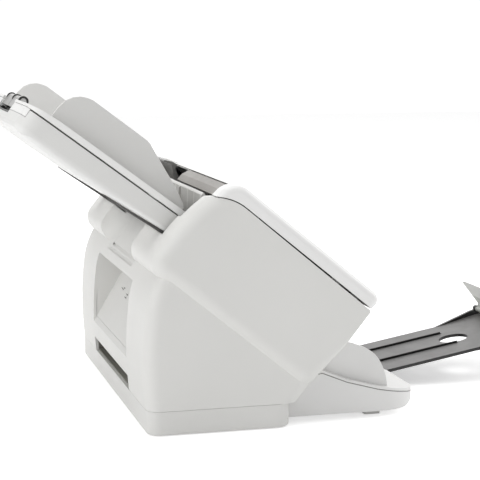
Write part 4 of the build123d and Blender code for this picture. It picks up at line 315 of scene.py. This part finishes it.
trayLean = math.radians(36.6)
armLean = math.radians(10.2)
trayAcross = (0.0, -math.sin(trayLean), math.cos(trayLean))
# painted shade: narrow black bands across the grip at its three hoops
gripShadeBands = {
    "across": (-0.038, 0.0, 0.038),
    "half": 0.0009,
}
# painted highlights: lighter slanted stripes over the inlet guide, standing in for light caught
# along its ribs
inletRibHighlights = {
    "direction": (0.93, 0.0, 0.36),
    "perMetre": 52.0,
    "half": 0.06,     # of one step from rib to rib
    "share": 0.55,    # how far a rib takes the lip's tone
}
stackerSeam = {
    "depths": (-0.0850, 0.0),
    "tallest": 0.050,
    "half": 0.00036,
    # depth and height at the corners of four straight runs
    "runs": (
        (-0.0838, 0.0134), (-0.0690, 0.0172), (-0.0458, 0.0218), (-0.0214, 0.0286),
        (-0.0020, 0.0366),
    ),
}
borders = {
    "gripPaintedShadeBelow": 0.0600,               # tray height under which the grip is painted black, as the shade of the hollow under it
    "traySeam": (0.0635, 0.00045),    # the joint between tray top and shell: height and half width
    "paintedKeelHighlight": (0.0515, 0.0485),     # tray heights between which the shell rounds under; painted highlight: the shell is paler there in place of the light bounced up onto the rounded edge
    "gripEnd": 0.0397,                # half length of the grip's roll, less its end faces
    "padFront": -0.030,               # the stacker's pads lie before this, the feet behind it
    "inletLip": 0.1712,               # height of the inlet guide's white lip
    "stopperLow": 0.0512,             # height under which the stopper is darker
}
slotDark = (-0.06, 0.06)    # the liner darkens between these, away from the slot's left end


def upward(tree, low, high):
    split = tree.nodes.new("ShaderNodeSeparateXYZ")
    tree.links.new(tree.nodes.new("ShaderNodeNewGeometry").outputs["Normal"], split.inputs[0])
    return addRange(tree, split.outputs["Z"], low, high)


def paintedGripShadeMask(tree):
    # painted shade: black bands where the grip's three hoops sit and a black lower part, standing
    # in for the shade inside the rings and in the hollow under the grip
    across = along(tree, (1.0, 0.0, 0.0))
    mask = addMath(tree, "LESS_THAN", along(tree, trayAcross), borders["gripPaintedShadeBelow"])
    for middle in gripShadeBands["across"]:
        mask = addMath(tree, "MAXIMUM", mask, near(tree, across, middle, gripShadeBands["half"]))
    return mask


def padMask(tree):
    # the two pads under the stacker
    return addMath(tree, "LESS_THAN", along(tree, (0.0, 1.0, 0.0)), borders["padFront"])


def litLipAndRibMask(tree):
    # painted light and shade: the inlet guide's upper lip takes a white tone and slanted stripes
    # paint highlights along its ribs, while the rest stays grey as painted shade on the funnel wall
    lip = addMath(tree, "GREATER_THAN", along(tree, (0.0, 0.0, 1.0)), borders["inletLip"])
    reach = addMath(tree, "MULTIPLY", along(tree, inletRibHighlights["direction"]), inletRibHighlights["perMetre"])
    slanted = addMath(tree, "FRACT", reach, 0.0)
    onRib = near(tree, slanted, 0.5, inletRibHighlights["half"])
    rib = addMath(tree, "MULTIPLY", onRib, inletRibHighlights["share"])
    return addMath(tree, "MAXIMUM", lip, rib)


def stopperMask(tree):
    return addMath(tree, "LESS_THAN", along(tree, (0.0, 0.0, 1.0)), borders["stopperLow"])


def paintedTopSheenMask(tree):
    # painted sheen: the arm's up-facing broad top is painted lighter in place of a highlight, its
    # rims and grooves stay black
    return upward(tree, 0.90, 0.97)


def gripEndMask(tree):
    off = addMath(tree, "ABSOLUTE", along(tree, (1.0, 0.0, 0.0)), 0.0)
    return addMath(tree, "GREATER_THAN", off, borders["gripEnd"])


def traySeamMask(tree):
    return near(tree, along(tree, trayAcross), *borders["traySeam"])


# painted highlight: the band where the tray shell rounds under is painted paler, standing in for
# bounce light from below
def paintedKeelHighlightMask(tree):
    return addRange(tree, along(tree, trayAcross), *borders["paintedKeelHighlight"])


def stackerSeamMask(tree):
    # the joint's height is read from a ramp over the depth
    front, rear = stackerSeam["depths"]
    tallest, runs = stackerSeam["tallest"], stackerSeam["runs"]
    ramp = tree.nodes.new("ShaderNodeValToRGB")
    reach = addRange(tree, along(tree, (0.0, 1.0, 0.0)), front, rear)
    tree.links.new(reach, ramp.inputs["Fac"])
    while len(ramp.color_ramp.elements) < len(runs):
        ramp.color_ramp.elements.new(0.5)
    for stop, (depth, height) in zip(ramp.color_ramp.elements, runs):
        stop.position = (depth - front) / (rear - front)
        stop.color = (height / tallest, height / tallest, height / tallest, 1)
    height = addMath(tree, "MULTIPLY", along(tree, (0.0, 0.0, 1.0)), 1 / tallest)
    off = addMath(tree, "SUBTRACT", height, ramp.outputs["Color"])
    return addMath(tree, "LESS_THAN", addMath(tree, "ABSOLUTE", off, 0.0),
                   stackerSeam["half"] / tallest)


def slotMask(tree):
    return addRange(tree, along(tree, (1.0, 0.0, 0.0)), *slotDark)


finishes = {
    "shell": moulded("white shell", (0.745, 0.742, 0.722), (0.715, 0.712, 0.692), 0.46, dust=0.05),
    "pan": moulded("white pan", (0.725, 0.722, 0.704), (0.695, 0.692, 0.672), 0.5, dust=0.05),
    "cover": moulded("white cover", (0.870, 0.868, 0.860), (0.845, 0.843, 0.833), 0.34, dust=0.03),
    "tray": moulded("white tray", (0.870, 0.868, 0.856), (0.845, 0.843, 0.830), 0.38, dust=0.03),
    # the tray shell: a paler keel band painted as a highlight, and a dark line at its joint with
    # the tray top
    "trayShell": tinted(
        tinted(moulded("white tray shell", (0.765, 0.763, 0.748), (0.738, 0.736, 0.720), 0.44),
               paintedKeelHighlightMask, (0.82, 0.818, 0.806)),
        traySeamMask, (0.060, 0.060, 0.056)),
    "guide": moulded("guide plastic", (0.70, 0.697, 0.682), (0.675, 0.672, 0.657), 0.42),
    # painted light: the far guide is the same plastic as the near one, painted lighter in place of
    # the light coming through it from behind
    "farGuidePaintedLighter": moulded("far guide plastic painted lighter", (0.80, 0.797, 0.782), (0.775, 0.772, 0.757), 0.42),
    "stacker": tinted(
        moulded("stacker plastic", (0.765, 0.762, 0.752), (0.738, 0.735, 0.725), 0.42, dust=0.03),
        stackerSeamMask, (0.20, 0.195, 0.185)),
    "inner": moulded("black inner plastic", (0.035, 0.034, 0.033), (0.026, 0.025, 0.025), 0.45,
                     1200.0),
    # painted shade: the inlet guide is grey where its funnel wall lies in shade; its lip is white
    # and its ribs get painted highlights
    "inlet": tinted(moulded("inlet plastic painted shade", (0.50, 0.495, 0.475), (0.46, 0.455, 0.435), 0.42),
                    litLipAndRibMask, (0.74, 0.735, 0.715)),
    "dark": moulded("grey lever plastic", (0.24, 0.235, 0.225), (0.20, 0.195, 0.188), 0.22, 1300.0,
                    coat=0.2),
    # painted sheen on the arm's broad top
    "arm": tinted(
        moulded("dark arm plastic with painted sheen", (0.022, 0.021, 0.021), (0.017, 0.016, 0.016), 0.34, 1300.0),
        paintedTopSheenMask, (0.115, 0.111, 0.108)),
    # partly painted shade: the tray mount's dark grey also draws the shadow gap where the tray's
    # foot meets the body
    "mount": moulded("dark mount plastic and gap shade", (0.075, 0.074, 0.070), (0.06, 0.058, 0.056), 0.4),
    "bar": moulded("taupe bar", (0.315, 0.300, 0.280), (0.285, 0.270, 0.252), 0.42),
    "stopper": tinted(
        moulded("stopper plastic", (0.58, 0.58, 0.56), (0.54, 0.54, 0.52), 0.35, 1200.0),
        stopperMask, (0.40, 0.41, 0.38)),
    # painted shade: the grip's lower part and bands at its hoops are painted black; its end faces
    # are paler
    "grip": tinted(
        tinted(moulded("grip plastic", (0.37, 0.368, 0.358), (0.33, 0.328, 0.32), 0.3), gripEndMask,
               (0.70, 0.70, 0.69)),
        paintedGripShadeMask, (0.018, 0.018, 0.017)),
    "liner": tinted(moulded("liner plastic", (0.36, 0.355, 0.32), (0.32, 0.315, 0.285), 0.5),
                    slotMask, (0.20, 0.192, 0.170)),
    # painted shade: the hoops' black stands in for the shade inside the grip's rings
    "hoop": moulded("hoop plastic painted shade", (0.020, 0.020, 0.019), (0.014, 0.014, 0.014), 0.32),
    "mark": moulded("mark paint", (0.045, 0.045, 0.043), (0.035, 0.035, 0.034), 0.6, specular=0.1),
    # painted shade: near-black with little gloss, so the arm's fins read as the shade lines of its
    # grooves
    "rib": moulded("rib plastic painted groove shade", (0.016, 0.015, 0.015), (0.011, 0.011, 0.011), 0.6, specular=0.15),
    "rubber": tinted(
        moulded("foot rubber", (0.05, 0.05, 0.048), (0.035, 0.035, 0.034), 0.75, 900.0, 0.25),
        padMask, (0.62, 0.62, 0.60)),
    "roller": moulded("roller rubber", (0.11, 0.115, 0.12), (0.085, 0.09, 0.095), 0.7, 700.0, 0.35),
    "wheel": moulded("wheel plastic", (0.22, 0.22, 0.22), (0.18, 0.18, 0.18), 0.4),
    "gear": moulded("gear plastic", (0.74, 0.70, 0.58), (0.68, 0.64, 0.52), 0.35, 1800.0, 0.08),
    "bush": moulded("bush plastic", (0.12, 0.12, 0.12), (0.09, 0.09, 0.09), 0.4),
    "steel": metallic("ground steel", (0.66, 0.66, 0.67), (0.48, 0.48, 0.50), 0.22),
    "plate": metallic("zinc plate", (0.58, 0.59, 0.61), (0.44, 0.45, 0.48), 0.36,
                      (120.0, 500.0, 30.0)),
    "motor": metallic("motor can", (0.42, 0.42, 0.44), (0.30, 0.30, 0.32), 0.35,
                      (300.0, 40.0, 300.0)),
    "socket": moulded("socket plastic", (0.03, 0.03, 0.03), (0.022, 0.022, 0.022), 0.35),
    "board": circuitBoard("circuit board"),
    "glass": glassStrip("scan glass", (0.86, 0.92, 0.91), 0.03, 0.9),
    "lens": glassStrip("lamp lens", (0.55, 0.85, 0.75), 0.25, 0.4),
    "button": moulded("button plastic", (0.42, 0.425, 0.43), (0.38, 0.385, 0.39), 0.28, coat=0.15),
    "scanButton": moulded("scan button plastic", (0.08, 0.20, 0.46), (0.06, 0.16, 0.40), 0.26,
                          coat=0.2),
}
print("stage: finishes made,", len(finishes))

wears = {
    "base_pan": "pan", "rubber_feet": "rubber", "pan_screws": "steel", "main_housing": "shell",
    "rear_slot_liner": "liner", "usb_socket": "socket", "dc_socket": "socket",
    "main_board": "board",
    "left_side_frame": "plate", "right_side_frame": "plate", "frame_bars": "steel",
    "shaft_bushes": "bush", "gear_posts": "steel", "lower_guide": "inner", "lower_head": "inner",
    "lower_glass": "glass", "drive_motor": "motor", "pivot_pins": "steel", "tray_top": "tray",
    "tray_shell": "trayShell", "tray_mount": "mount", "stacker_base": "stacker",
    "stacker_top": "stacker", "stacker_bracket": "stacker", "cover_shell": "cover",
    "cover_inner": "inner", "rear_bar": "bar",
    "inlet_guide": "inlet", "upper_head": "inner", "upper_glass": "glass", "cover_board": "board",
    "lamp_lens": "lens", "upper_shafts": "steel", "release_lever": "dark", "latch_bar": "steel",
    "power_button": "button", "stop_button": "button", "scan_button": "scanButton",
    "feed_shaft": "steel", "feed_rollers": "roller", "feed_gear": "gear", "pick_shaft": "steel",
    "pick_rollers": "roller", "pick_gear": "gear", "exit_shaft": "steel", "exit_rollers": "roller",
    "exit_gear": "gear", "rear_idler_gear": "gear", "front_idler_gear": "gear",
    "motor_pinion": "steel", "separation_roller": "roller", "feed_pinch_rollers": "wheel",
    "exit_pinch_rollers": "wheel", "paper_guide_left": "guide", "paper_guide_right": "farGuidePaintedLighter",
    "guide_pinion": "gear", "tray_extension": "tray", "extension_grip": "grip",
    "output_arm": "arm", "paper_stopper": "stopper",
}
for nodeName, finish in wears.items():
    cadNodes[nodeName].data.materials.clear()
    cadNodes[nodeName].data.materials.append(finishes[finish])

print("stage: CAD nodes wear their finishes")


# Small trim: the grip's hoops, plain marks in the rear pocket and the arm's ribs


def partFrom(bm, name, body, finish):
    mesh = bpy.data.meshes.new(name)
    bmesh.ops.recalc_face_normals(bm, faces=bm.faces)
    bm.to_mesh(mesh)
    bm.free()
    piece = bpy.data.objects.new(name, mesh)
    bpy.context.scene.collection.objects.link(piece)
    piece.data.materials.append(finishes[finish])
    for face in mesh.polygons:
        face.use_smooth = True
    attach(piece, body)
    return piece


# black rings on the grip: real rings in shape, their black paints the shade on the inner sides of
# the grip's ribs
gripHoops = {
    "across": (-0.0402, 0.0, 0.0380),
    "centre": (0.20522, 0.23707),    # depth and height of the grip's roll
    "radius": 0.00325,
    "wire": 0.00085,
    "steps": 40,
    "wireCorners": 12,
    "weld": 0.00001,
}
bm = bmesh.new()
for across in gripHoops["across"]:
    middle = Vector((across, *gripHoops["centre"]))
    start = middle + Vector((0.0, gripHoops["radius"], 0.0))
    section = bmesh.ops.create_circle(
        bm, segments=gripHoops["wireCorners"], radius=gripHoops["wire"],
        matrix=Matrix.Translation(start))
    rim = {edge for corner in section["verts"] for edge in corner.link_edges}
    bmesh.ops.spin(bm, geom=list(section["verts"]) + list(rim), cent=middle, axis=(1, 0, 0),
                   angle=math.tau, steps=gripHoops["steps"], use_merge=True)
bmesh.ops.remove_doubles(bm, verts=bm.verts, dist=gripHoops["weld"])
partFrom(bm, "grip_hoop_shade_rings", "extension", "hoop")

pocketMarks = {
    "rise": 0.00030,
    "lean": math.radians(-30.6),    # the slanted wall leans this far from upright
    "plates": (
        # across, depth, height, width, tall
        (0.0385, 0.1160, 0.0762, 0.0016, 0.0046),
        (0.0366, 0.1152, 0.0776, 0.0034, 0.0012),
        (0.0180, 0.1166, 0.0752, 0.0048, 0.0018),
        (0.0180, 0.1180, 0.0728, 0.0048, 0.0018),
    ),
}
bm = bmesh.new()
for across, depth, height, width, tall in pocketMarks["plates"]:
    spot = Matrix.Translation((across, depth, height))
    spot = spot @ Matrix.Rotation(pocketMarks["lean"], 4, "X")
    size = Matrix.Diagonal((width, pocketMarks["rise"], tall, 1.0))
    bmesh.ops.create_cube(bm, size=1.0, matrix=spot @ size)
partFrom(bm, "pocket_marks", "base", "mark")

# fins standing for the arm's step walls; their matte near-black paints the shade in the grooves
armGrooveShadeFins = {
    "across": (0.0205, -0.0165),
    "pivot": (-0.0690, 0.0105),    # depth and height of the arm's pin
    "reach": (0.016, 0.094),       # from the pin along the arm
    "foot": -0.0002,               # from the line through the pin, inside the arm's skin
    "tall": 0.0021,
    "thickness": 0.0006,
}
bm = bmesh.new()
start, end = armGrooveShadeFins["reach"]
toArm = Matrix.Translation((0.0, *armGrooveShadeFins["pivot"])) @ Matrix.Rotation(-armLean, 4, "X")
for across in armGrooveShadeFins["across"]:
    height = armGrooveShadeFins["foot"] + armGrooveShadeFins["tall"] / 2
    middle = Matrix.Translation((across, -(start + end) / 2, height))
    size = Matrix.Diagonal((armGrooveShadeFins["thickness"], end - start, armGrooveShadeFins["tall"], 1.0))
    bmesh.ops.create_cube(bm, size=1.0, matrix=toArm @ middle @ size)
partFrom(bm, "arm_groove_shade_fins", "arm", "rib")
print("stage: small trim made")


# Light, floor and camera

studio = {
    "floorHalf": 4.0,
    "worldStrength": 0.50,
    "backdropStrength": 1.05,
    "floorGlow": 0.50,
    "floorBounce": 0.30,
    "lights": (
        # name, place, aim, width, power
        ("rear top softbox", (-0.7, 2.2, 1.3), (0, 0.0, 0.1), 1.6, 18.5),
        ("top softbox", (0.3, 0.2, 2.4), (0, 0, 0.1), 1.8, 22.0),
        ("front softbox", (0.2, -2.2, 1.2), (0, -0.05, 0.1), 1.4, 20.0),
        ("far softbox", (2.1, -0.5, 1.2), (0, 0, 0.12), 2.2, 13.0),
    ),
}


def softbox(name, spot, aim, width, power):
    data = bpy.data.lights.new(name, "AREA")
    data.shape = "SQUARE"
    data.size = width
    data.energy = power
    lamp = bpy.data.objects.new(name, data)
    lamp.location = spot
    lamp.visible_camera = False
    lamp.rotation_euler = (Vector(aim) - Vector(spot)).to_track_quat("-Z", "Y").to_euler()
    bpy.context.scene.collection.objects.link(lamp)


def makeFloor():
    bm = bmesh.new()
    bmesh.ops.create_grid(bm, x_segments=2, y_segments=2, size=studio["floorHalf"])
    mesh = bpy.data.meshes.new("studio floor")
    bm.to_mesh(mesh)
    bm.free()
    floor = bpy.data.objects.new("studio_floor", mesh)
    bpy.context.scene.collection.objects.link(floor)
    paper = moulded("pale floor", (0.90, 0.90, 0.90), (0.89, 0.89, 0.89), 0.7, 60.0, 0.0)
    tree = paper.node_tree
    shader = tree.nodes["Principled BSDF"]
    seen = tree.nodes.new("ShaderNodeLightPath").outputs["Is Camera Ray"]
    glow = addRange(tree, seen, 0.0, 1.0, studio["floorBounce"], 1.0)
    tree.links.new(glow, shader.inputs["Emission Color"])
    shader.inputs["Emission Strength"].default_value = studio["floorGlow"]
    floor.data.materials.append(paper)


makeFloor()
for lampWords in studio["lights"]:
    softbox(*lampWords)

world = bpy.data.worlds.new("studio air")
bpy.context.scene.world = world
world.use_nodes = True
airTree = world.node_tree
ambient = airTree.nodes["Background"]
ambient.inputs["Color"].default_value = (1.0, 1.0, 1.0, 1)
ambient.inputs["Strength"].default_value = studio["worldStrength"]
backdrop = airTree.nodes.new("ShaderNodeBackground")
backdrop.inputs["Strength"].default_value = studio["backdropStrength"]
backdrop.inputs["Color"].default_value = (1.0, 1.0, 1.0, 1)
chooser = airTree.nodes.new("ShaderNodeMixShader")
seenByCamera = airTree.nodes.new("ShaderNodeLightPath").outputs["Is Camera Ray"]
airTree.links.new(seenByCamera, chooser.inputs[0])
airTree.links.new(ambient.outputs[0], chooser.inputs[1])
airTree.links.new(backdrop.outputs[0], chooser.inputs[2])
airTree.links.new(chooser.outputs[0], airTree.nodes["World Output"].inputs["Surface"])
bpy.context.scene.view_settings.view_transform = "Standard"

view = {
    "place": (-1.1544, 0.3360, 0.2868),
    "forward": (0.9564, -0.2572, -0.1383),
    "lens": 110.25,
    "sensor": 36.0,
}
cameraData = bpy.data.cameras.new("photo view")
cameraData.sensor_width = view["sensor"]
cameraData.lens = view["lens"]
camera = bpy.data.objects.new("photo view", cameraData)
camera.location = view["place"]
camera.rotation_euler = Vector(view["forward"]).to_track_quat("-Z", "Y").to_euler()
bpy.context.scene.collection.objects.link(camera)
bpy.context.scene.camera = camera
print("stage: light, floor and camera set")
